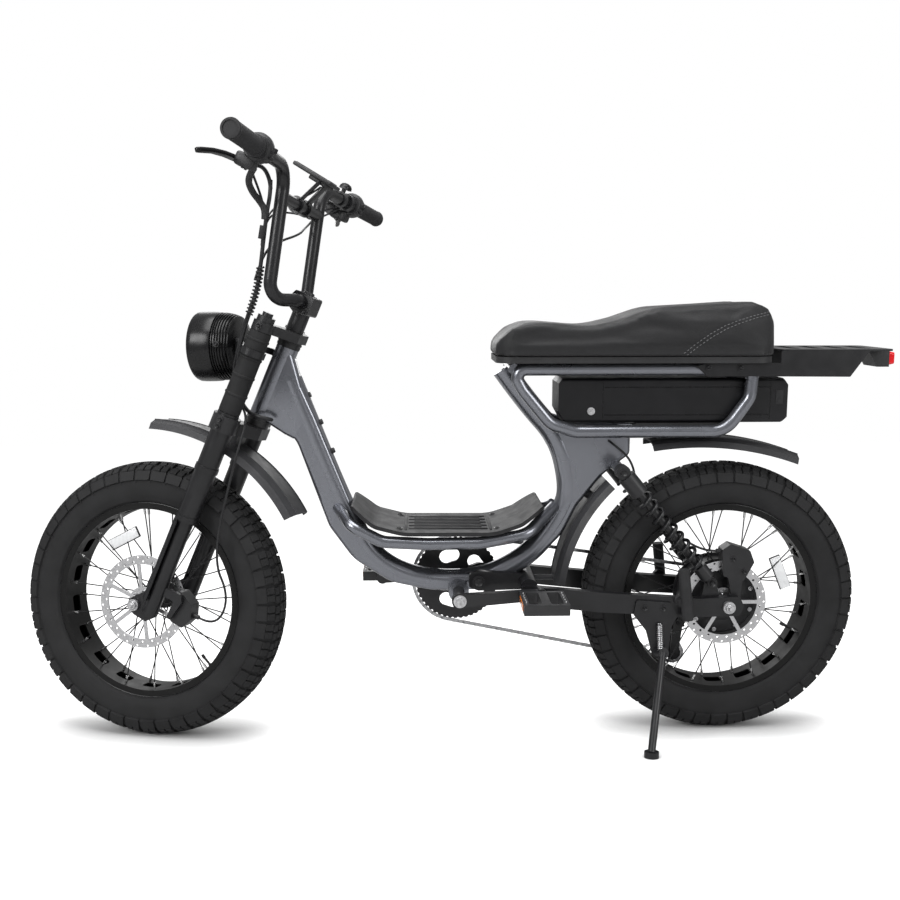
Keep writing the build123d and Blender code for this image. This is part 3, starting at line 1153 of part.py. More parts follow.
with BuildPart() as stand_bracket:
    with BuildSketch(side_plane(arm_outer + SEAT_GAP + 5)):
        with BuildLine():
            Polyline((198, 318), (124, 312), (110, 282), (122, 258), (128, 196), (160, 192), (176, 250),
                     (204, 286), close=True)
        make_face()
        fillet(vertices(), 5)
    extrude(amount=5)
    rod(stand_pivot - stand_axis * 13, stand_pivot - stand_axis * SEAT_GAP, 12)
    rod(stand_pivot - stand_axis * 1, stand_pivot + stand_axis * 16, 5)
finish(stand_bracket, "stand_bracket", STANDING)

with BuildPart() as stand_leg:
    rod(stand_pivot, stand_pivot + stand_axis * 14, 12)
    rod(stand_pivot + stand_axis * 9, foot_spot, STAND_LEG_RADIUS)
    rod(foot_spot - floor_up * 10, foot_spot + floor_up * 2, 15)
    rod(stand_pivot - stand_axis * 1, stand_pivot + stand_axis * 16, 5 + 0.08, mode=Mode.SUBTRACT)
finish(stand_leg, "stand_leg", STANDING)

# Brake hoses held along the fork and the left arm, and the bundle from the bars into the frame
HOSE_RADIUS = 2.5
with BuildPart() as front_hose:
    tube_along([(50, 51, 492), (10, 57, 474), (-10, 78, 436), (-16, 84, 380), (-50, 84, 166), (-117, 78, 104),
                (-110, 66, 28), (-66 - SEAT_GAP, 64, 28)], [24, 24, 60, 90, 50, 28], HOSE_RADIUS)
finish(front_hose, "front_hose", STEERED)

with BuildPart() as rear_hose:
    tube_along([(22 + SEAT_GAP, 66, 415), (56, 66, 415), (120, 61, 462), (196, 61, 548), (206, 61, 612),
                (250, 42, 648), (250, FRAME_WIDTH / 2 + SEAT_GAP, 648)], [24, 60, 40, 30, 12], HOSE_RADIUS)
finish(rear_hose, "rear_hose", STANDING)

BUNDLE_RADIUS = 5.0
ENTRY = (-48.0, FRAME_WIDTH / 2 + SEAT_GAP, 474.0)


def steered(x, y, z):
    """A point beside the frame, in the frame of the turned fork."""
    turn = radians(-BARS_TURNED)
    return x * cos(turn) - y * sin(turn), x * sin(turn) + y * cos(turn), z


with BuildPart() as cable_bundle:
    tube_along([(118, 118, 926), (100, 122, 880), (84, 114, 800), (78, 92, 680), (74, 92, 590), (52, 42, 500),
                steered(2, 47, 468), steered(ENTRY[0], 46, ENTRY[2]), steered(*ENTRY)],
               [60, 80, 80, 60, 40, 30, 16], BUNDLE_RADIUS)
finish(cable_bundle, "cable_bundle", STEERED)

# Every piece is moved together so that the bike stands centred on its own origin
boxes = [solid.bounding_box() for name, solid in finished]
SHIFT = Location((-(min(box.min.X for box in boxes) + max(box.max.X for box in boxes)) / 2,
                  -(min(box.min.Y for box in boxes) + max(box.max.Y for box in boxes)) / 2,
                  -min(box.min.Z for box in boxes)))
for name, solid in finished:
    export_step(solid.moved(SHIFT), f"parts/{name}.step")
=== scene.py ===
"""Dresses the step-through electric bike.

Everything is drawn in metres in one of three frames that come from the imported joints: BIKE is the bike
held upright with X forward, Y to the rider's left and Z up from the rear wheel's contact point; FORK is
the turned fork with Z up the steering axis; the two hubs have Y along their axles.
"""
import json
from math import asin, atan2, cos, hypot, pi, radians, sin, tau

import bmesh
import bpy
from bpy.props import FloatProperty, FloatVectorProperty, IntProperty, PointerProperty
from mathutils import Matrix, Vector
from mathutils.bvhtree import BVHTree


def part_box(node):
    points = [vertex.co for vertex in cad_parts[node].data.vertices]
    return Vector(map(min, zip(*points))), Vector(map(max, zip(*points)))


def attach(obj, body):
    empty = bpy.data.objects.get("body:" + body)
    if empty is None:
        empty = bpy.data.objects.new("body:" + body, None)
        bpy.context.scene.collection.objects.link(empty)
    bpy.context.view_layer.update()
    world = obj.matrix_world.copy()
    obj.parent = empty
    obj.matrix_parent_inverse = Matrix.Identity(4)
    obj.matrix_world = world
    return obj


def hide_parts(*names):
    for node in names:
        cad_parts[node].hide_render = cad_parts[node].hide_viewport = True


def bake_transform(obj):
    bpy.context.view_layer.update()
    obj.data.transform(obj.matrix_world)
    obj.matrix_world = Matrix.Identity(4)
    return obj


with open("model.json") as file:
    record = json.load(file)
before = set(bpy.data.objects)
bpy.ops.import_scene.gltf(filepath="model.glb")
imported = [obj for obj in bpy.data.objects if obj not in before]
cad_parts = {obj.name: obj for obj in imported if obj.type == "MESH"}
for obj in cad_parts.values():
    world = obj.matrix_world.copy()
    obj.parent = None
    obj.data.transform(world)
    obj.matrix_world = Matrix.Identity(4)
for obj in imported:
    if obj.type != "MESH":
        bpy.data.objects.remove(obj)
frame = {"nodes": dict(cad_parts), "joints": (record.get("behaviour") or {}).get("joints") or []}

bl_info = {
    "name": "Step-through electric bike",
    "version": (1, 0, 0),
    "blender": (4, 5, 0),
    "location": "View3D > Sidebar > E-bike",
    "description": "Tyres, seat, chain, cables and fittings for the packed electric bike",
    "category": "Object",
}

# Sizes the pieces share with the part
RAKE = radians(23)
TYRE_RADIUS = 0.300
RIM_LIP = 0.211
RIM_HALF = 0.040

JOINTS = {joint["name"]: joint for joint in frame["joints"]}
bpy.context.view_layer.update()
ACROSS = Vector((0, 1, 0))
SIDES = ((1, "left"), (-1, "right"))
WELD = 0.00001
POLE_WELD = 0.00015


def frame_of(origin, x, y, z):
    """The matrix of a frame with these axes."""
    place = Matrix((x, y, z)).transposed().to_4x4()
    place.translation = origin
    return place


def joint_vector(joint, key):
    return Vector(JOINTS[joint][key])


def bike_frame():
    across, steering = joint_vector("rear_wheel_spin", "axis"), joint_vector("steering", "axis")
    ahead_of_fork = across.cross(steering).normalized()
    forward = ahead_of_fork * cos(RAKE) - steering * sin(RAKE)
    up = ahead_of_fork * sin(RAKE) + steering * cos(RAKE)
    return frame_of(joint_vector("rear_wheel_spin", "pos_m") - up * TYRE_RADIUS, forward, across, up)


def fork_frame():
    across, steering = joint_vector("front_wheel_spin", "axis"), joint_vector("steering", "axis")
    return frame_of(joint_vector("steering", "pos_m"), across.cross(steering).normalized(), across, steering)


def moved_to(place, joint):
    """That frame's directions at a joint's centre."""
    made = place.copy()
    made.translation = joint_vector(joint, "pos_m")
    return made


BIKE = bike_frame()
FORK = fork_frame()
FRONT_HUB = moved_to(FORK, "front_wheel_spin")
REAR_HUB = moved_to(BIKE, "rear_wheel_spin")
CRANK = moved_to(BIKE, "crank_spin")


class BikeSizes(bpy.types.PropertyGroup):
    tread_pitches: IntProperty(name="Tread pitches", description="Tread blocks counted once round the tyre",
                               default=46)
    tread_depth: FloatProperty(name="Tread depth", description="Height of the tread blocks", default=0.0055,
                               unit="LENGTH")
    stitch_length: FloatProperty(name="Stitch", description="Length of one stitch on the seat",
                                 default=0.0055, unit="LENGTH")


class BikeColours(bpy.types.PropertyGroup):
    paint: FloatVectorProperty(name="Frame paint", description="Metallic gunmetal of the frame",
                               subtype="COLOR", size=3, default=(0.165, 0.171, 0.192))
    black: FloatVectorProperty(name="Satin black", description="Fork, bars and swingarm", subtype="COLOR",
                               size=3, default=(0.009, 0.009, 0.010))
    rubber: FloatVectorProperty(name="Tyre rubber", description="Tyres and fork sleeves", subtype="COLOR",
                                size=3, default=(0.013, 0.013, 0.0135))
    cover: FloatVectorProperty(name="Seat cover", description="Grained leatherette", subtype="COLOR",
                               size=3, default=(0.011, 0.011, 0.012))
    lens: FloatVectorProperty(name="Tail lens", description="Red of the tail lamp", subtype="COLOR",
                              size=3, default=(0.55, 0.008, 0.012))


def sizes():
    return bpy.context.scene.bike_sizes


def colours():
    return bpy.context.scene.bike_colours


# Materials


def start_material(name):
    """A new node material and its shader."""
    material = bpy.data.materials.new(name)
    material.use_nodes = True
    return material, material.node_tree, material.node_tree.nodes["Principled BSDF"]


def put(tree, node, values):
    """Put a constant or another node's output on each of these sockets."""
    for socket, value in values.items():
        if isinstance(value, bpy.types.NodeSocket):
            tree.links.new(value, node.inputs[socket])
        else:
            node.inputs[socket].default_value = value


def add_node(tree, kind, values, **settings):
    node = tree.nodes.new(f"ShaderNode{kind}")
    for setting, value in settings.items():
        setattr(node, setting, value)
    put(tree, node, values)
    return node


def coordinates(tree, scale=(1, 1, 1), place=None):
    """Object coordinates, scaled, or measured in another frame."""
    values = {"Vector": add_node(tree, "TexCoord", {}).outputs["Object"], "Scale": scale}
    if place is not None:
        back = place.inverted()
        values |= {"Location": back.translation, "Rotation": back.to_euler()}
    return add_node(tree, "Mapping", values).outputs["Vector"]


def noise(tree, vector, scale, detail=3):
    return add_node(tree, "TexNoise", {"Vector": vector, "Scale": scale, "Detail": detail}).outputs["Fac"]


def cells(tree, scale, randomness, feature="F1"):
    values = {"Vector": coordinates(tree), "Scale": scale, "Randomness": randomness}
    return add_node(tree, "TexVoronoi", values, feature=feature).outputs["Distance"]


def spread(tree, value, low, high, from_low=0.35, from_high=0.65):
    """A value's middle range set out between two numbers."""
    return add_node(tree, "MapRange", {"Value": value, "From Min": from_low, "From Max": from_high,
                                       "To Min": low, "To Max": high}).outputs["Result"]


def tint(tree, shader, value, dark, light):
    """The base colour runs between two colours with a value."""
    mixed = add_node(tree, "Mix", {"A": (*dark, 1), "B": (*light, 1), "Factor": value}, data_type="RGBA")
    put(tree, shader, {"Base Color": mixed.outputs["Result"]})


def brighter(colour, by):
    return tuple(min(1.0, channel * by) for channel in colour)


def shade(tree, shader, value, base, dark, light):
    """The base colour runs from a darker to a lighter shade with a value's middle range."""
    tint(tree, shader, spread(tree, value, 0, 1), brighter(base, dark), brighter(base, light))


def bump(tree, shader, value, height, strength=1.0):
    made = add_node(tree, "Bump", {"Height": value, "Distance": height, "Strength": strength})
    put(tree, shader, {"Normal": made.outputs["Normal"]})


def make_paint():
    """Metallic paint: fine flake under a clear coat, with a soft unevenness."""
    material, tree, shader = start_material("frame_paint")
    where = coordinates(tree)
    shade(tree, shader, noise(tree, where, 2600, 1), colours().paint, 0.82, 1.25)
    put(tree, shader, {"Roughness": spread(tree, noise(tree, where, 9), 0.24, 0.31), "Metallic": 0.85,
                       "Coat Weight": 0.7, "Coat Roughness": 0.07})
    bump(tree, shader, noise(tree, where, 320, 2), 0.00006, 0.4)
    return material


def make_satin(name, base, rough_low, rough_high, grain_scale=700, grain_height=0.00004, coat=0.0, broad=14,
               shine=0.3):
    """Powder coat or moulded plastic: fine grain and uneven sheen."""
    material, tree, shader = start_material(name)
    where = coordinates(tree)
    shade(tree, shader, noise(tree, where, broad), base, 0.85, 1.2)
    put(tree, shader, {"Roughness": spread(tree, noise(tree, where, 40), rough_low, rough_high),
                       "Specular IOR Level": shine, "Coat Weight": coat, "Coat Roughness": 0.1})
    bump(tree, shader, noise(tree, where, grain_scale, 2), grain_height)
    return material


def make_braid():
    """Woven cable sleeve: fine strands, darkened towards the gaps between them with painted shade."""
    material, tree, shader = start_material("braided_sleeve")
    weave_and_gap_shade = cells(tree, 700, 0.35)
    # Painted shade: each strand's colour runs darker towards the gaps between the strands.
    tint(tree, shader, spread(tree, weave_and_gap_shade, 0, 1, 0.1, 0.6), (0.03, 0.03, 0.032), (0.006, 0.006, 0.006))
    put(tree, shader, {"Roughness": 0.6})
    bump(tree, shader, weave_and_gap_shade, 0.0006)
    return material


def make_rubber(name, base, rough=0.7):
    material, tree, shader = start_material(name)
    where = coordinates(tree)
    dust = noise(tree, where, 22, 5)
    shade(tree, shader, dust, base, 0.8, 1.35)
    put(tree, shader, {"Roughness": spread(tree, dust, rough - 0.08, rough + 0.1),
                       "Specular IOR Level": 0.22})
    bump(tree, shader, noise(tree, where, 900, 2), 0.00006)
    return material


def make_metal(name, base, rough, brush=(1, 1, 1)):
    """Bare metal with fine machining lines along the axes whose scale is small."""
    material, tree, shader = start_material(name)
    lines = noise(tree, coordinates(tree, brush), 180, 4)
    shade(tree, shader, lines, base, 0.78, 1.1)
    put(tree, shader, {"Roughness": spread(tree, lines, rough - 0.06, rough + 0.08), "Metallic": 1.0})
    bump(tree, shader, lines, 0.00002)
    return material


def make_disc_steel(name, hub):
    """Ground steel: fine rings about the hub."""
    material, tree, shader = start_material(name)
    split = add_node(tree, "SeparateXYZ", {"Vector": coordinates(tree, place=hub)})
    flat = add_node(tree, "CombineXYZ", {axis: split.outputs[axis] for axis in "XZ"})
    length = add_node(tree, "VectorMath", {0: flat.outputs["Vector"]}, operation="LENGTH")
    rings = add_node(tree, "TexNoise", {"Scale": 2600, "W": length.outputs["Value"]}, noise_dimensions="1D")
    ring = rings.outputs["Fac"]
    tint(tree, shader, ring, (0.40, 0.40, 0.41), (0.62, 0.62, 0.63))
    put(tree, shader, {"Roughness": spread(tree, ring, 0.26, 0.42), "Metallic": 1.0})
    bump(tree, shader, ring, 0.00003)
    return material


def make_leatherette():
    """Grained seat cover: small cells with creases between them, the creases darkened with painted shade,
    under a low sheen.
    """
    material, tree, shader = start_material("seat_cover")
    crease_and_painted_shade = spread(tree, cells(tree, 620, 0.9, "DISTANCE_TO_EDGE"), 0, 1, 0.0, 0.22)
    # Painted shade: the cover's colour is darkened in the creases between the grain cells.
    tint(tree, shader, crease_and_painted_shade, brighter(colours().cover, 0.55), brighter(colours().cover, 1.15))
    put(tree, shader, {"Roughness": spread(tree, noise(tree, coordinates(tree), 16), 0.44, 0.56),
                       "Sheen Weight": 0.05, "Specular IOR Level": 0.3, "Sheen Roughness": 0.5})
    bump(tree, shader, crease_and_painted_shade, 0.00022, 0.55)
    return material


def make_plain(name, base, rough, transmission=0.0, emission=0.0):
    material, tree, shader = start_material(name)
    shade(tree, shader, noise(tree, coordinates(tree), 300, 2), base, 0.9, 1.1)
    put(tree, shader, {"Roughness": rough, "Transmission Weight": transmission})
    if emission:
        put(tree, shader, {"Emission Color": (*base, 1), "Emission Strength": emission})
    return material


def make_reflector(name, base):
    """Moulded prisms behind a clear face."""
    material, tree, shader = start_material(name)
    prisms = cells(tree, 420, 0.0)
    tint(tree, shader, prisms, brighter(base, 0.8), base)
    put(tree, shader, {"Roughness": 0.18, "Coat Weight": 0.8})
    bump(tree, shader, prisms, 0.0005)
    return material


FINISHES = {}


def make_finishes():
    FINISHES.update(
        paint=make_paint(),
        satin=make_satin("satin_black", colours().black, 0.30, 0.42, coat=0.12),
        gloss=make_satin("gloss_black", (0.005, 0.005, 0.0055), 0.24, 0.3, 200, 0.00001),
        alloy=make_satin("black_alloy", (0.016, 0.016, 0.017), 0.3, 0.42, 900),
        plastic=make_satin("black_plastic", (0.022, 0.022, 0.023), 0.42, 0.54, 1200, 0.00008),
        fender=make_satin("fender_plastic", (0.026, 0.026, 0.028), 0.42, 0.52, 1500, 0.00006),
        board=make_satin("board_plastic", (0.014, 0.014, 0.015), 0.55, 0.65, 1100, 0.0001, broad=60),
        battery=make_satin("battery_shell", (0.006, 0.006, 0.007), 0.3, 0.4, 1400, 0.00004),
        rim=make_satin("rim_black", (0.004, 0.004, 0.004), 0.42, 0.5, shine=0.2),
        sleeve=make_braid(),
        amber=make_reflector("amber_reflector", (0.62, 0.16, 0.01)),
        tyre=make_rubber("tyre_rubber", colours().rubber),
        grip=make_rubber("grip_rubber", (0.02, 0.02, 0.021), 0.62),
        hose=make_satin("hose_black", (0.014, 0.014, 0.015), 0.35, 0.45),
        cover=make_leatherette(),
        thread=make_plain("seat_thread", (0.16, 0.16, 0.165), 0.8),
        steel=make_metal("bright_steel", (0.62, 0.62, 0.63), 0.3),
        zinc=make_metal("zinc_plate", (0.55, 0.55, 0.56), 0.36, (1, 0.1, 1)),
        chain=make_metal("chain_steel", (0.42, 0.42, 0.43), 0.36),
        spoke=make_satin("black_spoke", (0.014, 0.014, 0.015), 0.3, 0.4),
        nipple=make_metal("nickel_nipple", (0.72, 0.72, 0.72), 0.25),
        front_disc=make_disc_steel("front_disc_steel", FRONT_HUB),
        rear_disc=make_disc_steel("rear_disc_steel", REAR_HUB),
        glass=make_plain("lamp_glass", (0.86, 0.88, 0.9), 0.05, transmission=0.7),
        red=make_plain("tail_red", colours().lens, 0.12, emission=0.25),
        reflector=make_reflector("clear_reflector", (0.78, 0.79, 0.8)),
    )


FINISHED_NODES = {
    "paint": ("main_frame", "seat_loops", "side_rails"),
    "satin": ("swingarm", "springs", "rear_rack", "stand_bracket", "stand_leg", "fork_tubes", "fork_legs",
              "stem", "handlebar", "headlamp_bracket"),
    "gloss": ("brake_levers", "headlamp_body"),
    "alloy": ("headset", "shocks", "derailleur", "rear_caliper", "front_caliper", "lower_crown",
              "upper_crown", "front_hub", "hub_motor", "chainring", "cranks"),
    "plastic": ("battery_tray", "seat_base", "tail_lamp", "switch_pods", "display", "bell", "pedal_left",
                "pedal_right"),
    "fender": ("rear_fender_front", "rear_fender_rear", "front_fender"),
    "board": ("footboard",), "battery": ("battery",), "cover": ("seat_cushion",), "red": ("tail_lens",),
    "zinc": ("rear_axle", "front_axle", "cassette"), "chain": ("chain",), "glass": ("headlamp_lens",),
    "grip": ("foot_pegs", "grips"), "hose": ("rear_hose", "front_hose", "cable_bundle"),
    "tyre": ("front_tyre", "rear_tyre"), "rim": ("front_rim", "rear_rim"),
    "spoke": ("front_spokes", "rear_spokes"),
    "front_disc": ("front_brake_disc",), "rear_disc": ("rear_brake_disc",),
}


class BIKE_OT_finishes(bpy.types.Operator):
    """Make the materials and give each CAD node its own"""
    bl_idname = "bike.finishes"
    bl_label = "Finishes"

    def execute(self, context):
        make_finishes()
        for finish, names in FINISHED_NODES.items():
            for name in names:
                materials = frame["nodes"][name].data.materials
                materials.clear()
                materials.append(FINISHES[finish])
        return {"FINISHED"}


# Making pieces


def finished(name, bm, place, body, finish, sharp=35, replaces=(), flat=False):
    """Put a bmesh in the scene as a piece: set in its frame, finished, and riding on a body."""
    bmesh.ops.transform(bm, matrix=place, verts=bm.verts)
    mesh = bpy.data.meshes.new(name)
    bm.to_mesh(mesh)
    bm.free()
    if not flat:
        mesh.shade_smooth()
        mesh.set_sharp_from_angle(angle=radians(sharp))
    mesh.materials.append(FINISHES[finish])
    piece = in_scene(name, mesh)
    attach(piece, body)
    if replaces:
        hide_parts(*replaces)


def in_scene(name, data):
    """A new object with this data, in the scene."""
    piece = bpy.data.objects.new(name, data)
    bpy.context.scene.collection.objects.link(piece)
    return piece


def face_out(bm):
    bmesh.ops.recalc_face_normals(bm, faces=bm.faces)


def along(start, end):
    """The frame at start whose Z points to end."""
    way = Vector(end) - Vector(start)
    return Matrix.Translation(Vector(start)) @ way.to_track_quat("Z", "Y").to_matrix().to_4x4()


def add_rod(bm, start, end, radius, end_radius=None, sides=24):
    """A straight round rod between two points."""
    length = (Vector(end) - Vector(start)).length
    return bmesh.ops.create_cone(bm, cap_ends=True, segments=sides, radius1=radius,
                                 radius2=radius if end_radius is None else end_radius, depth=length,
                                 matrix=along(start, end) @ Matrix.Translation((0, 0, length / 2)))["verts"]


def add_block(bm, centre, size, turn=None):
    """A box with its centre here, turned about it."""
    place = Matrix.Translation(Vector(centre)) @ (turn or Matrix.Identity(4)) @ Matrix.Diagonal((*size, 1))
    return bmesh.ops.create_cube(bm, size=1, matrix=place)["verts"]


def rotate(bm, verts, angle, axis, centre=(0, 0, 0)):
    bmesh.ops.rotate(bm, cent=centre, matrix=Matrix.Rotation(angle, 3, axis), verts=verts)


def bevel(bm, edges, width, segments):
    bmesh.ops.bevel(bm, geom=edges, offset=width, segments=segments, affect="EDGES", profile=0.5, material=-1)


def soften(bm, verts, width, segments=2):
    """Round the sharp edges of these vertices."""
    known = set(verts)
    bevel(bm, [edge for edge in bm.edges if known.issuperset(edge.verts) and edge.is_manifold
               and edge.calc_face_angle(0) > 0.5], width, segments)


def blocks(name, boxes, place, body, finish, replaces=()):
    """A piece made of boxes with rounded edges: centre, size, rounding and its segments."""
    bm = bmesh.new()
    for centre, size, width, segments in boxes:
        soften(bm, add_block(bm, centre, size), width, segments)
    finished(name, bm, place, body, finish, replaces=replaces)


def spun_round(bm, profile, steps, wheel=False):
    """Turn a line of (radius, height) points once round Z, or round the axle of a wheel."""
    verts = [bm.verts.new((radius, at, 0) if wheel else (radius, 0, at)) for radius, at in profile]
    edges = [bm.edges.new(pair) for pair in zip(verts, verts[1:])]
    bmesh.ops.spin(bm, geom=verts + edges, cent=(0, 0, 0), axis=ACROSS if wheel else (0, 0, 1), angle=tau,
                   steps=steps, use_merge=True)


def turned_piece(name, profile, steps, place, finish, sharp=35, replaces=(), weld=POLE_WELD, closed=True):
    """A piece of the steering that is turned round Z on its pole."""
    bm = bmesh.new()
    spun_round(bm, profile, steps)
    bmesh.ops.remove_doubles(bm, verts=bm.verts, dist=weld)
    if closed:
        face_out(bm)
    finished(name, bm, place, "steering", finish, sharp, replaces)


def add_ring(bm, inner, outer, low, high, edge=0.0, steps=36):
    """A collar round Z, its outer rims chamfered by edge, and its vertices."""
    before = set(bm.verts)
    rims = [(outer - edge, low), (outer, low + edge), (outer, high - edge), (outer - edge, high)]
    spun_round(bm, [(inner, low), *dict.fromkeys(rims), (inner, high), (inner, low)], steps)
    bmesh.ops.remove_doubles(bm, verts=[vert for vert in bm.verts if vert not in before], dist=WELD)
    made = [vert for vert in bm.verts if vert not in before]
    bmesh.ops.recalc_face_normals(bm, faces=list({face for vert in made for face in vert.link_faces}))
    return made


def add_plate(bm, corners, way):
    """A flat plate over these corners, as thick as way is long."""
    face = bm.faces.new([bm.verts.new(corner) for corner in corners])
    made = bmesh.ops.extrude_face_region(bm, geom=[face])
    far = [item for item in made["geom"] if isinstance(item, bmesh.types.BMVert)]
    bmesh.ops.translate(bm, vec=way, verts=far)
    face_out(bm)


def add_bolt(bm, at, way, radius=0.004, height=0.004, hex_socket=True):
    """A domed cap screw with a washer, its head standing out along way."""
    at, way = Vector(at), Vector(way).normalized()
    add_rod(bm, at, at + way * 0.0012, radius * 1.45, sides=20)
    head = add_rod(bm, at + way * 0.001, at + way * height, radius, radius * 0.86, sides=20)
    if hex_socket:
        top = max((face for vert in head for face in vert.link_faces),
                  key=lambda face: face.calc_center_median().dot(way))
        bmesh.ops.inset_individual(bm, faces=[top], thickness=radius * 0.42)
        bmesh.ops.translate(bm, vec=-way * height * 0.45, verts=top.verts)


def add_bolt_ring(bm, count, radius, y, way, height, begin=0.0):
    """Bolts on a circle round the axle, their heads out along Y."""
    for number in range(count):
        angle = tau * number / count + begin
        add_bolt(bm, (radius * cos(angle), y, radius * sin(angle)), (0, way, 0), 0.0032, height)


# Wheels

TYRE_HALF_OUTLINE = (  # across, radius: from the bead over the side to the crown
    (0.0370, 0.2060), (0.0388, 0.2125), (0.0425, 0.2150), (0.0452, 0.2165), (0.0455, 0.2190),
    (0.0478, 0.2235), (0.0498, 0.2330), (0.0506, 0.2430), (0.0503, 0.2540), (0.0493, 0.2630),
    (0.0478, 0.2690), (0.0455, 0.2745), (0.0415, 0.2800), (0.0350, 0.2856), (0.0260, 0.2902),
    (0.0140, 0.2932), (0.0, 0.2942))
TYRE_OUTLINE = (*TYRE_HALF_OUTLINE,
                *((-across, radius) for across, radius in reversed(TYRE_HALF_OUTLINE[:-1])))
CROWN_LINE = sorted(point for point in TYRE_OUTLINE if point[1] > 0.2675)
TREAD_ROWS = (  # across from, across to, share of the pitch, share at which it starts, blocks in it
    (0.0020, 0.0145, 0.84, 0.00, 2),
    (0.0165, 0.0285, 0.82, 0.10, 2),
    (0.0305, 0.0430, 0.80, 0.02, 2),
)
TREAD_GAP = 0.03
TREAD_ROOT = 0.0012


def crown_radius(across):
    """The carcass's radius under the tread, this far from the middle."""
    for (a0, r0), (a1, r1) in zip(CROWN_LINE, CROWN_LINE[1:]):
        if a0 <= across <= a1:
            return r0 + (r1 - r0) * (across - a0) / (a1 - a0)
    return CROWN_LINE[0][1]


def tread_block(bm, side, low, high, start, end, depth):
    """One tread block over the carcass between two distances across and two angles round it."""
    for vert in bmesh.ops.create_cube(bm, size=1)["verts"]:
        across = low if vert.co.y < 0 else high
        angle = start if vert.co.x < 0 else end
        top = vert.co.z > 0
        if top:
            across += 0.0006 if vert.co.y < 0 else -0.0006
            angle += 0.0022 if vert.co.x < 0 else -0.0022
        radius = crown_radius(across) + (depth if top else -TREAD_ROOT)
        if high > 0.04 and vert.co.y > 0:
            across += 0.0022 if top else 0.0008
        vert.co = (radius * cos(angle), side * across, radius * sin(angle))


def make_tyre(name, hub, body):
    """A fat tyre: a spun carcass, and rows of split tread blocks with a skirt down each shoulder."""
    bm = bmesh.new()
    spun_round(bm, [(radius, across) for across, radius in TYRE_OUTLINE], 144, wheel=True)
    face_out(bm)
    finished(name, bm, hub, body, "tyre", sharp=60, replaces=(name.replace("_carcass", ""),))

    bm = bmesh.new()
    pitches = sizes().tread_pitches
    pitch = tau / pitches
    # the skirt block and thin rib under each pitch: radius, across, size, lean, share of the pitch
    shoulder = ((0.2705, 0.0476, (0.021, 0.0050, pitch * 0.235), 0.42, 0.42),
                (0.2640, 0.0494, (0.016, 0.0012, 0.0012), 0.2, 0.95))
    for number in range(pitches):
        for side in (1, -1):
            base = pitch * (number + (0.5 if side < 0 else 0))
            for low, high, share, begin, count in TREAD_ROWS:
                length = pitch * share / count
                for block in range(count):
                    start = base + pitch * begin + block * length + (pitch * TREAD_GAP if block else 0)
                    tread_block(bm, side, low, high, start, start + length - pitch * TREAD_GAP,
                                sizes().tread_depth)
            for radius, across, size, lean, share in shoulder:
                at = (radius, side * across, 0)
                made = add_block(bm, at, size)
                rotate(bm, made, -side * lean, "Z", at)
                rotate(bm, made, -(base + pitch * share), "Y")
    face_out(bm)
    finished(name.replace("carcass", "tread"), bm, hub, body, "tyre", flat=True)


class BIKE_OT_tyres(bpy.types.Operator):
    """Make both tyres with their tread"""
    bl_idname = "bike.tyres"
    bl_label = "Tyres"

    def execute(self, context):
        make_tyre("front_tyre_carcass", FRONT_HUB, "front_wheel")
        make_tyre("rear_tyre_carcass", REAR_HUB, "rear_wheel")
        return {"FINISHED"}


# Seat

SEAT_START = (0.985, 0.965, 0.965)
SEAT_VOXEL = 0.006
SEAT_PRESSURE = 2.5
SEAT_FRAMES = 20
SEAT_FOOT = 0.026
SEAT_GROWTH = 0.005
SEAT_FLOOR = 0.001
# The sewn lines on the seat: (x, z) along its side in the bike's frame
SEAT_SEAMS = (
    ((0.116, 0.839), (0.092, 0.859), (0.066, 0.878), (0.038, 0.894), (0.008, 0.906), (-0.026, 0.916),
     (-0.062, 0.924)),
    ((0.110, 0.835), (0.086, 0.854), (0.060, 0.873), (0.032, 0.889), (0.003, 0.901), (-0.029, 0.911),
     (-0.064, 0.919)),
)
SEAM_LOW = ((0.500, 0.843), (0.380, 0.844), (0.240, 0.844), (0.100, 0.844), (-0.078, 0.844))
SEAM_REACH = 0.009
SEAM_DEPTH = 0.0016


def apply_modifiers(piece):
    """Keep a piece's finished shape and drop its modifiers."""
    depsgraph = bpy.context.evaluated_depsgraph_get()
    done = bpy.data.meshes.new_from_object(piece.evaluated_get(depsgraph))
    piece.modifiers.clear()
    piece.data = done


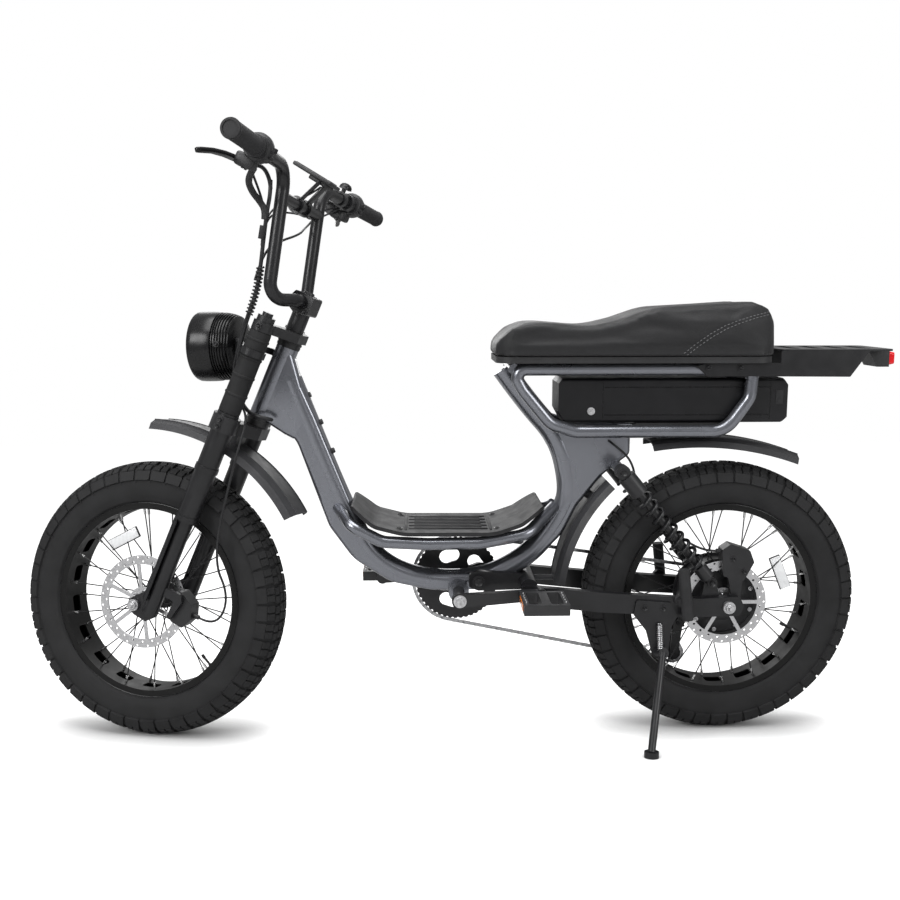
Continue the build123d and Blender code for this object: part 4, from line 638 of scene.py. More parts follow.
def soft_seat():
    """The seat foam blown up inside its cover, from the CAD solid's own outline."""
    bm = bmesh.new()
    bm.from_mesh(frame["nodes"]["seat_cushion"].data)
    bmesh.ops.remove_doubles(bm, verts=bm.verts, dist=0.0001)
    floor = BIKE.inverted()
    middle = sum((vert.co for vert in bm.verts), Vector()) / len(bm.verts)
    low = min((floor @ vert.co).z for vert in bm.verts)
    shrink = Matrix.Translation(middle) @ Matrix.Diagonal((*SEAT_START, 1)) @ Matrix.Translation(-middle)
    bmesh.ops.transform(bm, matrix=shrink, verts=bm.verts)
    mesh = bpy.data.meshes.new("seat")
    bm.to_mesh(mesh)
    bm.free()
    seat = in_scene("seat", mesh)
    remesh = seat.modifiers.new("remesh", "REMESH")
    remesh.mode = "VOXEL"
    remesh.voxel_size = SEAT_VOXEL
    apply_modifiers(seat)
    rest = [vert.co.copy() for vert in seat.data.vertices]
    foot = seat.vertex_groups.new(name="foot")
    foot.add([vert.index for vert in seat.data.vertices if (floor @ vert.co).z < low + SEAT_FOOT],
             1.0, "REPLACE")
    cloth = seat.modifiers.new("cloth", "CLOTH")
    cloth.settings.use_pressure = True
    cloth.settings.uniform_pressure_force = SEAT_PRESSURE
    cloth.settings.vertex_group_mass = "foot"
    cloth.settings.effector_weights.gravity = 0
    cloth.settings.quality = 5
    cloth.point_cache.frame_end = SEAT_FRAMES
    for number in range(1, SEAT_FRAMES + 1):
        bpy.context.scene.frame_set(number)
    apply_modifiers(seat)
    bpy.context.scene.frame_set(1)
    for vert, start in zip(seat.data.vertices, rest):
        move = vert.co - start
        if move.length > SEAT_GROWTH:
            vert.co = start + move.normalized() * SEAT_GROWTH
        place = floor @ vert.co
        if place.z < low + SEAT_FLOOR:
            place.z = low + SEAT_FLOOR
            vert.co = BIKE @ place
    return seat


def even_points(line, step):
    """Points a step apart along a line of points."""
    made, left = [], 0.0
    for start, end in zip(line, line[1:]):
        length = (end - start).length
        at = left
        while at < length:
            made.append(start.lerp(end, at / length))
            at += step
        left = at - length
    return made


def seam_spots(tree, seam, side, step):
    """Where a seam's stitches lie on the seat's side, and which way the cover faces there."""
    spots = []
    for point in even_points([Vector((x, 0, z)) for x, z in seam], step):
        start = BIKE @ Vector((point.x, side * 0.3, point.z))
        spot, normal, _, _ = tree.ray_cast(start, BIKE.to_3x3() @ Vector((0, -side, 0)))
        if spot is not None:
            spots.append((spot, normal))
    return spots


class BIKE_OT_seat(bpy.types.Operator):
    """Make the padded seat and its sewn lines"""
    bl_idname = "bike.seat"
    bl_label = "Seat"

    def execute(self, context):
        seat = soft_seat()
        mesh = seat.data
        tree = BVHTree.FromPolygons([vert.co for vert in mesh.vertices],
                                    [face.vertices for face in mesh.polygons])
        sewn = [seam_spots(tree, seam, side, 0.004) for seam in SEAT_SEAMS for side in (1, -1)]
        self.sink(mesh, sewn + [seam_spots(tree, SEAM_LOW, side, 0.006) for side in (1, -1)])
        smooth = seat.modifiers.new("smooth", "SUBSURF")
        smooth.levels = 1
        smooth.render_levels = 1
        apply_modifiers(seat)
        seat.data.shade_smooth()
        seat.data.materials.append(FINISHES["cover"])
        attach(seat, "frame")
        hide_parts("seat_cushion")
        self.sew(sewn)
        return {"FINISHED"}

    def sink(self, mesh, lines):
        """Pull the cover in along its sewn lines."""
        spots = [spot for line in lines for spot, normal in line]
        for vert in mesh.vertices:
            nearest = min((vert.co - spot).length for spot in spots)
            if nearest < SEAM_REACH:
                vert.co -= Vector(vert.normal) * SEAM_DEPTH * (1 - nearest / SEAM_REACH)

    def sew(self, lines):
        """Lay a short thread over each stitch."""
        bm = bmesh.new()
        for line in lines:
            for (start, up), (end, _) in list(zip(line, line[1:]))[::2]:
                way = end - start
                length = min(way.length, sizes().stitch_length)
                place = frame_of((start + end) / 2 - up * 0.0006, way.normalized(),
                                 up.cross(way).normalized(), up)
                stitch = add_block(bm, (0, 0, 0), (length, 0.0009, 0.0009))
                bmesh.ops.transform(bm, matrix=place, verts=stitch)
        finished("seat_stitching", bm, Matrix.Identity(4), "frame", "thread", flat=True)


# Cables

BUNDLE_ROUTE = ((0.118, 0.118, 0.926), (0.106, 0.121, 0.900), (0.100, 0.122, 0.870), (0.084, 0.114, 0.800),
                (0.070, 0.103, 0.735), (0.066, 0.099, 0.690), (0.064, 0.096, 0.620), (0.060, 0.070, 0.545),
                (0.052, 0.042, 0.500), (0.0149, 0.0446, 0.468),
                (-0.0335, 0.0575, 0.474), (-0.0400, 0.0347, 0.474))
FRONT_HOSE = ((0.050, 0.051, 0.492), (0.010, 0.057, 0.474), (-0.010, 0.078, 0.436), (-0.016, 0.084, 0.380),
              (-0.050, 0.084, 0.166), (-0.117, 0.078, 0.104), (-0.110, 0.066, 0.028), (-0.0663, 0.064, 0.028))
REAR_HOSE = ((0.0223, 0.066, 0.415), (0.056, 0.066, 0.415), (0.120, 0.061, 0.462), (0.196, 0.061, 0.548),
             (0.206, 0.061, 0.612), (0.250, 0.042, 0.648), (0.250, 0.0223, 0.648))
WRAP_RADIUS = 0.0070
WRAP_PITCH = 0.0076
WRAP_SHARE = (0.31, 0.49)


def add_curve(name, points, radius, kind, roundness, finish):
    """A round cable along a spline."""
    curve = bpy.data.curves.new(name, "CURVE")
    curve.dimensions = "3D"
    curve.resolution_u = 16
    curve.bevel_depth = radius
    curve.bevel_resolution = roundness
    spline = curve.splines.new(kind)
    spline.points.add(len(points) - 1)
    for target, point in zip(spline.points, points):
        target.co = (*point, 1)
    curve.materials.append(FINISHES[finish])
    return in_scene(name, curve), spline


def route_curve(name, points, place, radius, finish):
    """A round cable on a smooth line through its route."""
    piece, spline = add_curve(name, [place @ Vector(point) for point in points], radius, "NURBS", 4, finish)
    piece.data.use_fill_caps = True
    spline.order_u = 3
    spline.use_endpoint_u = True
    return piece


def mesh_of(piece):
    depsgraph = bpy.context.evaluated_depsgraph_get()
    depsgraph.update()
    return bpy.data.meshes.new_from_object(piece.evaluated_get(depsgraph))


def line_of(piece):
    """The points that a cable's middle follows, read from its spline."""
    data = piece.data
    depth, data.bevel_depth = data.bevel_depth, 0
    mesh = mesh_of(piece)
    points = [vert.co.copy() for vert in mesh.vertices]
    bpy.data.meshes.remove(mesh)
    data.bevel_depth = depth
    return points


def length_of(points):
    return sum((b - a).length for a, b in zip(points, points[1:]))


def as_mesh(piece):
    """Turn a curve into a mesh piece of the same name."""
    mesh, name = mesh_of(piece), piece.name
    bpy.data.objects.remove(piece)
    return in_scene(name, mesh)


def wound(points, radius, pitch, start, end):
    """The points of a helix round a line, between two shares of its length."""
    total = length_of(points)
    made, gone = [], 0.0
    side = ACROSS
    for a, b in zip(points, points[1:]):
        way = b - a
        steps = max(1, int(way.length / (pitch / 12)))
        forward = way.normalized()
        side = (side - forward * side.dot(forward)).normalized()
        other = forward.cross(side)
        for step in range(steps):
            at = gone + way.length * step / steps
            if start <= at / total <= end:
                angle = tau * at / pitch
                made.append(a.lerp(b, step / steps) + (side * cos(angle) + other * sin(angle)) * radius)
        gone += way.length
    return made


class BIKE_OT_cables(bpy.types.Operator):
    """Make the wrapped cable bundle and both brake hoses"""
    bl_idname = "bike.cables"
    bl_label = "Cables"

    def execute(self, context):
        self.make_bundle()
        for name, points, place, body in (("front_brake_hose", FRONT_HOSE, FORK, "steering"),
                                          ("rear_brake_hose", REAR_HOSE, BIKE, "frame")):
            hose = route_curve(name, points, place, 0.0025, "hose")
            line = line_of(hose)
            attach(hose, body)
            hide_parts(name.replace("_brake", ""))
        return {"FINISHED"}

    def make_bundle(self):
        """One thick cable with a spiral wrap round part of it below the bars."""
        core = route_curve("cable_core", BUNDLE_ROUTE, FORK, 0.0042, "hose")
        line = line_of(core)
        core = as_mesh(core)
        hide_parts("cable_bundle")
        helix = wound(line, WRAP_RADIUS, WRAP_PITCH, *WRAP_SHARE)
        wrap, _ = add_curve("cable_wrap", helix, 0.0017, "POLY", 2, "hose")
        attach(wrap, "steering")
        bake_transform(core)


# Chain

CHAIN_Y = -0.066
CHAIN_PITCH = 0.0127
CHAIN_WHEELS = (  # x, z, radius, way round
    (0.0, 0.300, 0.0423, 1), (0.066, 0.214, 0.0213, -1), (0.074, 0.142, 0.0213, 1), (0.573, 0.324, 0.0993, 1))
ARC_STEPS = 24
PLATE = (0.0062, 0.0008, 0.0068)  # beyond the pitch, thick, high
PIN_HALF = ACROSS * 0.0028


def chain_run(first, second):
    """Where the chain leaves one wheel and meets the next, and its heading between them."""
    ax, az, ra, turn_a = first
    bx, bz, rb, turn_b = second
    heading = atan2(bz - az, bx - ax) - asin((turn_b * rb - turn_a * ra) / hypot(bx - ax, bz - az))
    side = Vector((-sin(heading), cos(heading)))
    return Vector((ax, az)) - side * turn_a * ra, Vector((bx, bz)) - side * turn_b * rb, heading


def chain_line():
    """The chain's middle line as closely spaced points."""
    points = []
    for number, wheel in enumerate(CHAIN_WHEELS):
        _, _, before = chain_run(CHAIN_WHEELS[number - 1], wheel)
        leaving, _, after = chain_run(wheel, CHAIN_WHEELS[(number + 1) % len(CHAIN_WHEELS)])
        x, z, radius, turn = wheel
        swing = (turn * (after - before)) % tau
        for step in range(ARC_STEPS):
            heading = before + turn * swing * step / ARC_STEPS
            points.append(Vector((x + sin(heading) * turn * radius, 0, z - cos(heading) * turn * radius)))
        points.append(Vector((leaving.x, 0, leaving.y)))
    return points + points[:1]


class BIKE_OT_chain(bpy.types.Operator):
    """Make the chain link by link along its run"""
    bl_idname = "bike.chain"
    bl_label = "Chain"

    def execute(self, context):
        line = chain_line()
        count = round(length_of(line) / CHAIN_PITCH / 2) * 2
        joints = even_points(line, length_of(line) / count)[:count]
        bm = bmesh.new()
        for number, start in enumerate(joints):
            end = joints[(number + 1) % count]
            way = end - start
            turn = Matrix.Rotation(-atan2(way.z, way.x), 4, "Y")
            gap = 0.0024 if number % 2 else 0.0014
            for side in (1, -1):
                plate = set(add_block(bm, (start + end) / 2 + ACROSS * (CHAIN_Y + side * gap),
                                      (way.length + PLATE[0], PLATE[1], PLATE[2]), turn))
                bevel(bm, [edge for edge in bm.edges if plate.issuperset(edge.verts)
                           and abs((edge.verts[0].co - edge.verts[1].co).normalized().y) > 0.9], 0.0024, 2)
            middle = start + ACROSS * CHAIN_Y
            add_rod(bm, middle - PIN_HALF, middle + PIN_HALF, 0.0022, sides=8)
        finished("chain_links", bm, BIKE, "frame", "chain", replaces=("chain",))
        return {"FINISHED"}


# Wheel fittings

SPOKES = {  # flange radius, half the flanges' distance, lead angle
    "front": (0.027, 0.034, radians(34)),
    "rear": (0.084, 0.028, radians(14)),
}
SPOKES_A_SIDE = 18
SPOKE_HEAD = (0.1977, 0.021)
DISC_AT = {"front": 0.0592, "rear": 0.0622}
REFLECTOR_ANGLE = {"front": radians(40), "rear": radians(158)}
REFLECTOR_RADIUS = 0.145
VALVE_ANGLE = radians(205)
VALVE = (  # from radius, to radius, thick, thick at the end, sides
    (0.198, 0.190, 0.0042, 0.0036, 16),
    (0.191, 0.172, 0.0026, 0.0026, 16),
    (0.173, 0.164, 0.0036, 0.0030, 12),
)
BEAD_RADIUS = 0.0011


def outward(angle):
    """The direction from the axle at this angle round the wheel."""
    return Vector((cos(angle), 0, sin(angle)))


class BIKE_OT_wheel_fittings(bpy.types.Operator):
    """Make the nipples, reflectors, valves, disc bolts, rim edges, motor bolts and axle nuts"""
    bl_idname = "bike.wheel_fittings"
    bl_label = "Wheel fittings"

    def execute(self, context):
        for name, hub in (("front", FRONT_HUB), ("rear", REAR_HUB)):
            for make in (self.nipples, self.reflector, self.valve, self.disc_bolts, self.rim_bead):
                make(name, hub, f"{name}_wheel")
        bm = bmesh.new()
        add_bolt_ring(bm, 9, 0.069, 0.0395, 1, 0.0035)
        add_bolt_ring(bm, 9, 0.074, -0.0335, -1, 0.0035)
        finished("motor_cover_bolts", bm, REAR_HUB, "rear_wheel", "steel")
        self.axle_nuts()
        return {"FINISHED"}

    def nipples(self, name, hub, body):
        flange, at, lead = SPOKES[name]
        bm = bmesh.new()
        for side in (1, -1):
            for count in range(SPOKES_A_SIDE):
                way = 1 if count % 2 else -1
                at_rim = radians(20 * (count + (0.25 if side == 1 else 0.75)))
                foot = outward(at_rim + way * lead) * flange + ACROSS * side * (at + way * 0.0037)
                head = outward(at_rim) * SPOKE_HEAD[0] + ACROSS * side * SPOKE_HEAD[1]
                way_out = (head - foot).normalized()
                add_rod(bm, head - way_out * 0.0136, head - way_out * 0.0004, 0.0026, sides=10)
        finished(f"{name}_nipples", bm, hub, body, "nipple")

    def rim_bead(self, name, hub, body):
        """A rolled edge on both lips of the rim."""
        bm = bmesh.new()
        for side in (1, -1):
            spun_round(bm, [(RIM_LIP + 0.0006 + BEAD_RADIUS * cos(tau * corner / 8),
                             side * (RIM_HALF - 0.0003) + BEAD_RADIUS * sin(tau * corner / 8))
                            for corner in range(9)], 96, wheel=True)
        bmesh.ops.remove_doubles(bm, verts=bm.verts, dist=WELD)
        face_out(bm)
        finished(f"{name}_rim_bead", bm, hub, body, "gloss")

    def reflector(self, name, hub, body):
        """A clear reflector clipped across the spokes, with its black backing."""
        angle = REFLECTOR_ANGLE[name]
        for suffix, y, size, finish in (("reflector", 0.0236, (0.022, 0.004, 0.074), "reflector"),
                                        ("reflector_back", 0.020, (0.025, 0.0035, 0.077), "plastic")):
            bm = bmesh.new()
            turn = Matrix.Rotation(-angle, 4, "Y")
            soften(bm, add_block(bm, outward(angle) * REFLECTOR_RADIUS + ACROSS * y, size, turn), 0.0014, 2)
            finished(f"{name}_{suffix}", bm, hub, body, finish)

    def valve(self, name, hub, body):
        bm = bmesh.new()
        out = outward(VALVE_ANGLE)
        for low, high, radius, end_radius, sides in VALVE:
            add_rod(bm, out * low, out * high, radius, end_radius, sides)
        finished(f"{name}_valve", bm, hub, body, "plastic")

    def disc_bolts(self, name, hub, body):
        bm = bmesh.new()
        add_bolt_ring(bm, 6, 0.022, DISC_AT[name], 1, 0.0034, 0.3)
        finished(f"{name}_disc_bolts", bm, hub, body, "zinc")

    def axle_nuts(self):
        """Domed nuts over the axle ends, with their washers."""
        for name, place, body, half in (("front", FRONT_HUB, "steering", 0.100),
                                        ("rear", REAR_HUB, "frame", 0.106)):
            bm = bmesh.new()
            for side in (1, -1):
                out = ACROSS * side
                add_rod(bm, out * (half - 0.001), out * (half + 0.0006), 0.0125, sides=32)
                soften(bm, add_rod(bm, out * half, out * (half + 0.007), 0.0098, sides=6), 0.0008, 1)
                add_rod(bm, out * (half + 0.006), out * (half + 0.011), 0.0058, 0.0036, sides=20)
            finished(f"{name}_axle_nuts", bm, place, body, "zinc")


# Handlebar fittings

BAR_END = Vector((0.076, 0.415, 0.965))
BAR_CORNER = Vector((0.105, 0.103, 0.962))
BAR_WAY = (BAR_END - BAR_CORNER).normalized()
GRIP_RIBS = 26
GRIP_RIB_PITCH = 0.0043
GRIP_START = ((0.0136, 0.0005), (0.0205, 0.0005), (0.0212, 0.002), (0.0205, 0.0058), (0.0174, 0.007))
GRIP_END = ((0.0176, 0.1225), (0.0184, 0.1240), (0.0188, 0.1300), (0.0178, 0.1332), (0.0136, 0.1338))
SWITCH_DOME = ((0.0136, -0.0005), (0.0215, 0.0), (0.0262, 0.004), (0.0280, 0.011), (0.0280, 0.022),
               (0.0262, 0.029), (0.0215, 0.0335), (0.0136, 0.034))
BELL_DOME = ((0.0001, 0.0225), (0.006, 0.0220), (0.011, 0.0195), (0.0142, 0.0150), (0.0150, 0.0100),
             (0.0146, 0.0090))


def bar_frame(side, back):
    """The frame on the bar's axis this far in from its end: Z outward, Y up, X ahead or behind."""
    mirror = Vector((1, side, 1))
    way = BAR_WAY * mirror
    up = (Vector((0, 0, 1)) - way * way.z).normalized()
    return frame_of(BAR_END * mirror - way * back, up.cross(way), up, way)


class BIKE_OT_handlebar_fittings(bpy.types.Operator):
    """Make the ribbed grips, the switches and the bell"""
    bl_idname = "bike.handlebar_fittings"
    bl_label = "Handlebar fittings"

    def execute(self, context):
        for side, name in SIDES:
            self.grip(side, name)
            self.switch(side, name)
        turn = Matrix.Translation((0, 0.0165, 0.004)) @ Matrix.Rotation(-pi / 2, 4, "X")
        turned_piece("bell_dome", BELL_DOME, 32, FORK @ bar_frame(-1, 0.214) @ turn, "gloss", weld=0.0002)
        return {"FINISHED"}

    def grip(self, side, name):
        """Ribbed rubber sleeve with a ring at each end."""
        profile = list(GRIP_START)
        for ring in range(GRIP_RIBS):
            low = 0.009 + ring * GRIP_RIB_PITCH
            profile += [(0.0171, low), (0.0179, low + 0.0008), (0.0179, low + 0.0024), (0.0171, low + 0.0031)]
        profile += GRIP_END
        turned_piece(f"grip_{name}", profile, 40, FORK @ bar_frame(side, 0.128), "grip", 25, weld=WELD)

    def switch(self, side, name):
        """The switch box, its buttons, its clamp ring and its screws."""
        place = FORK @ bar_frame(side, 0.164)
        x = side * 0.0285
        blocks(f"switch_buttons_{name}", (((x, 0.007, 0.009), (0.006, 0.009, 0.009), 0.0012, 2),
                                          ((x, 0.003, 0.022), (0.006, 0.008, 0.008), 0.0012, 2),
                                          ((x, -0.010, 0.016), (0.006, 0.005, 0.014), 0.0012, 2)),
               place, "steering", "grip")
        bm = bmesh.new()
        spun_round(bm, SWITCH_DOME, 40)
        face_out(bm)
        soften(bm, add_block(bm, (-side * 0.016, -0.030, 0.010), (0.040, 0.026, 0.030)), 0.006, 3)
        finished(f"switch_box_{name}", bm, place, "steering", "plastic")
        bm = bmesh.new()
        for z in (0.002, 0.018):
            add_bolt(bm, (-side * 0.016, -0.0425, z), (0, -1, 0), 0.0028, 0.003)
        add_ring(bm, 0.0152, 0.0185, -0.012, -0.001, 0.00066, 40)
        finished(f"switch_screws_{name}", bm, place, "steering", "alloy")


# Headlamp

LAMP_FRONT = Vector((0.215, 0, 0.535))
LAMP_AHEAD = Vector((cos(RAKE), 0, -sin(RAKE)))
LAMP_BOWL = (  # radius, distance behind the lamp's front
    (0.0685, 0.040), (0.0690, 0.0345), (0.0705, 0.0335), (0.0730, 0.0345), (0.0745, 0.038), (0.0750, 0.046),
    (0.0748, 0.066), (0.0740, 0.080), (0.0725, 0.0855), (0.0690, 0.0870))
LAMP_BACK = ((0.058, 0.1262), (0.045, 0.1275), (0.0001, 0.1278))
LAMP_FINS = 7
LAMP_FIN_PITCH = 0.0056
LAMP_FIN_FOOT = 0.0035
LAMP_GLASS = ((0.0690, 0.040), (0.0690, 0.036), (0.060, 0.0335), (0.040, 0.0312), (0.020, 0.0302),
              (0.0001, 0.0300))
LAMP_DISH = ((0.0684, 0.0395), (0.060, 0.048), (0.045, 0.060), (0.030, 0.068), (0.014, 0.072),
             (0.0001, 0.0725))


class BIKE_OT_headlamp(bpy.types.Operator):
    """Make the lamp's bowl with its cooling fins, its glass and its dish"""
    bl_idname = "bike.headlamp"
    bl_label = "Headlamp"

    def execute(self, context):
        place = FORK @ frame_of(LAMP_FRONT, ACROSS, (-LAMP_AHEAD).cross(ACROSS), -LAMP_AHEAD)
        bowl = list(LAMP_BOWL)
        for fin in range(LAMP_FINS):
            at = 0.0885 + fin * LAMP_FIN_PITCH
            edge = 0.0722 - 0.00020 * fin * fin
            bowl += [(edge - LAMP_FIN_FOOT, at), (edge - 0.001, at), (edge, at + 0.0008), (edge, at + 0.0018),
                     (edge - 0.001, at + 0.0026), (edge - LAMP_FIN_FOOT, at + 0.0027)]
        turned_piece("headlamp_shell", (*bowl, *LAMP_BACK), 72, place, "gloss", 30, ("headlamp_body",))
        turned_piece("headlamp_glass", LAMP_GLASS, 64, place, "glass", 50, ("headlamp_lens",))
        turned_piece("headlamp_dish", LAMP_DISH, 64, place, "steel", 40, closed=False)
        bm = bmesh.new()
        for side in (1, -1):
            add_bolt(bm, (side * 0.027, 0, 0.1372), (0, 0, 1), 0.0045, 0.005)
            add_bolt(bm, (side * 0.0755, 0, 0.104), (side, 0, 0), 0.0045, 0.005)
        finished("headlamp_bolts", bm, place, "steering", "alloy")
        return {"FINISHED"}


# Levers and display

LEVER_BACK = 0.179
LEVER_THICK = 0.009
LEVER_BLADE = (  # ahead of the bar, outward from the clamp
    (0.034, -0.010), (0.056, -0.012), (0.060, 0.020), (0.064, 0.060), (0.072, 0.096), (0.086, 0.120),
    (0.089, 0.127), (0.083, 0.131), (0.076, 0.124), (0.062, 0.098), (0.052, 0.062), (0.047, 0.024),
    (0.036, 0.008))


class BIKE_OT_levers(bpy.types.Operator):
    """Make both brake levers with their clamps"""
    bl_idname = "bike.levers"
    bl_label = "Brake levers"
    droop: FloatProperty(name="Droop", description="How far the levers point down from straight ahead",
                         default=radians(38), subtype="ANGLE")

    def execute(self, context):
        for side, name in SIDES:
            place = FORK @ self.lever_frame(side)
            for part, make, finish in (("blade", self.blade, "gloss"), ("body", self.body, "alloy"),
                                       ("screws", self.screws, "zinc")):
                bm = bmesh.new()
                make(bm)
                if side < 0:
                    bmesh.ops.scale(bm, vec=(1, -1, 1), verts=bm.verts)
                    bmesh.ops.reverse_faces(bm, faces=bm.faces)
                finished(f"lever_{part}_{name}", bm, place, "steering", finish,
                         replaces=("brake_levers",) if (part, side) == ("blade", 1) else ())
        return {"FINISHED"}

    def lever_frame(self, side):
        """At the lever's clamp: X ahead and down by the droop, Y outward along the bar."""
        place = bar_frame(side, LEVER_BACK)
        out = Vector(place.col[2][:3])
        ahead = Vector((1, 0, 0))
        ahead = (ahead - out * ahead.dot(out)).normalized()
        up = ahead.cross(out * side).normalized()
        lean, drop = cos(self.droop), sin(self.droop)
        return frame_of(place.translation, ahead * lean - up * drop, out * side, up * lean + ahead * drop)

    def blade(self, bm):
        add_plate(bm, [(x, y, -LEVER_THICK / 2) for x, y in LEVER_BLADE], (0, 0, LEVER_THICK))
        soften(bm, list(bm.verts), 0.0022, 3)

    def body(self, bm):
        soften(bm, add_block(bm, (0.0335, -0.004, 0), (0.030, 0.024, 0.016)), 0.004, 3)
        add_rod(bm, (0.030, -0.002, 0), (0.030, -0.040, 0.001), 0.0075, 0.0062)
        add_rod(bm, (0.030, -0.040, 0.001), (0.030, -0.047, 0.001), 0.0042, sides=16)
        clamp = add_ring(bm, 0.0137, 0.0195, -0.010, 0.010)
        bmesh.ops.rotate(bm, cent=(0, 0, 0), matrix=Matrix.Rotation(pi / 2, 3, "X"), verts=clamp)

    def screws(self, bm):
        add_bolt(bm, (0.043, -0.002, 0.0082), (0, 0, 1), 0.0036, 0.003)
        add_bolt(bm, (0.0170, -0.004, 0.0095), (0.4, 0, 1), 0.0026, 0.003)


DISPLAY_REAR = Vector((0.033, 0, 0.974))
DISPLAY_FRONT = Vector((0.129, 0, 0.988))
BRACE = Vector((0.0899, 0, 0.905))
BRACKET_AT = 0.022


class BIKE_OT_display(bpy.types.Operator):
    """Make the display, its glass, its buttons and its bracket on the crossbar"""
    bl_idname = "bike.display"
    bl_label = "Display"

    def execute(self, context):
        middle = (DISPLAY_REAR + DISPLAY_FRONT) / 2
        way = (DISPLAY_FRONT - DISPLAY_REAR).normalized()
        place = FORK @ frame_of(middle, way, ACROSS, way.cross(ACROSS))
        blocks("display_case", (((0, 0, -0.0050), (0.096, 0.060, 0.0085), 0.0028, 3),
                                ((-0.016, 0, -0.0125), (0.046, 0.040, 0.009), 0.0025, 2)),
               place, "steering", "plastic", ("display",))
        blocks("display_glass", (((0.008, 0, -0.0002), (0.072, 0.050, 0.0012), 0.0005, 1),),
               place, "steering", "gloss")
        blocks("display_buttons", [((-0.038, y, -0.0002), (0.007, 0.009, 0.0018), 0.0005, 1)
                                   for y in (-0.014, 0.0, 0.014)], place, "steering", "grip")
        bm = bmesh.new()
        for side in (1, -1):
            clamp = add_ring(bm, 0.0127, 0.0178, -0.006, 0.006)
            grip = BRACE + ACROSS * side * BRACKET_AT
            turn = Matrix.Translation(grip) @ Matrix.Rotation(pi / 2, 4, "X")
            bmesh.ops.transform(bm, matrix=turn, verts=clamp)
            foot = grip + Vector((-0.006, 0, 0.015))
            head = middle + way * -0.018 + Vector((0, side * 0.019, -0.014))
            arm = add_block(bm, (0, 0, 0), (0.016, 0.005, (head - foot).length + 0.006))
            lean = (head - foot).to_track_quat("Z", "Y").to_matrix().to_4x4()
            bmesh.ops.transform(bm, matrix=Matrix.Translation((foot + head) / 2) @ lean, verts=arm)
            soften(bm, arm, 0.0012, 2)
            add_bolt(bm, grip + Vector((0.017, 0, 0)), (1, 0, 0), 0.003, 0.0035)
        finished("display_bracket", bm, FORK, "steering", "satin")
        return {"FINISHED"}


# Small fittings: bolts, plugs, seams and covers

OUT, UP, PLUG_WAY, STEM_WAY = (0, 1, 0), (0, 0, 1), (-0.92, 0, 0.39), (1, 0, 0.2)
BOLTS = (  # body, finish, way they face, radius, height, on both sides?, places
    ("frame", "plastic", PLUG_WAY, 0.0065, 0.0075, False,
     ((0.894, 0, 0.745), (0.870, 0, 0.687), (0.8455, 0, 0.625))),
    ("steering", "alloy", OUT, 0.0042, 0.0045, True, ((-0.0150, 0.0262, 0.7080),)),
    ("steering", "alloy", STEM_WAY, 0.0042, 0.0045, True, ((0.0262, 0.015, 0.7190),)),
    ("steering", "alloy", UP, 0.0125, 0.0055, False, ((0, 0, 0.7425),)),
    ("steering", "alloy", OUT, 0.0045, 0.005, True, ((0.033, 0.1072, 0.650),)),
    ("steering", "alloy", OUT, 0.0050, 0.005, True, ((0.033, 0.1132, 0.428), (0.033, 0.1132, 0.443))),
    ("steering", "alloy", OUT, 0.0042, 0.005, False, ((-0.020, 0.0792, 0.050), (-0.014, 0.0792, 0.020))),
    ("frame", "alloy", OUT, 0.0095, 0.006, True, ((0.530, 0.0475, 0.345),)),
    ("frame", "alloy", OUT, 0.0075, 0.006, True, ((0.233, 0.1042, 0.592),)),
    ("frame", "alloy", OUT, 0.0070, 0.006, True, ((0.036, 0.0962, 0.352),)),
    ("frame", "alloy", OUT, 0.0050, 0.005, True, ((0.059, 0.0880, 0.810), (-0.008, 0.0880, 0.808))),
    ("frame", "alloy", OUT, 0.0050, 0.005, False, ((0.180, 0.1025, 0.301), (0.140, 0.1025, 0.300))),
    ("frame", "alloy", UP, 0.0055, 0.003, True, ((0.700, 0.070, 0.4695), (0.492, 0.070, 0.4685))),
    ("frame", "alloy", OUT, 0.0042, 0.005, False, ((-0.012, 0.0790, 0.400), (-0.036, 0.0790, 0.372))),
    ("crank", "zinc", OUT, 0.0095, 0.004, True, ((0, 0.1207, 0),)),
)


class BIKE_OT_bolts(bpy.types.Operator):
    """Make the bolts and rubber plugs, one piece for each body and finish"""
    bl_idname = "bike.bolts"
    bl_label = "Bolts"

    def execute(self, context):
        groups = {}
        for body, finish, way, radius, height, both, spots in BOLTS:
            bm = groups.setdefault((body, finish), bmesh.new())
            place = {"frame": BIKE, "steering": FORK, "crank": CRANK}[body]
            for x, y, z in spots:
                for side in (1, -1) if both else (1,):
                    add_bolt(bm, place @ Vector((x, side * y, z)),
                             place.to_3x3() @ Vector((way[0], side * way[1], way[2])), radius, height,
                             finish != "plastic")
        for (body, finish), bm in groups.items():
            finished(f"bolts_{body}_{finish}", bm, Matrix.Identity(4), body, finish)
        return {"FINISHED"}


class BIKE_OT_board_ribs(bpy.types.Operator):
    """Make the footboard's raised tread ribs"""
    bl_idname = "bike.board_ribs"
    bl_label = "Footboard ribs"

    def execute(self, context):
        ribs = [((0.596, -0.060 + row * 0.015, 0.4673), (0.168 if row % 2 == 0 else 0.144, 0.0062, 0.0022),
                 0.0009, 2) for row in range(9)]
        ribs += [((x, 0, 0.4676), (0.006, 0.150, 0.0022), 0.0009, 2) for x in (0.506, 0.686)]
        blocks("footboard_ribs", ribs, BIKE, "frame", "grip")
        return {"FINISHED"}


BATTERY_SIDE = 0.052
LOCK_AT = (0.295, 0.715)
PORT_X = -0.1045


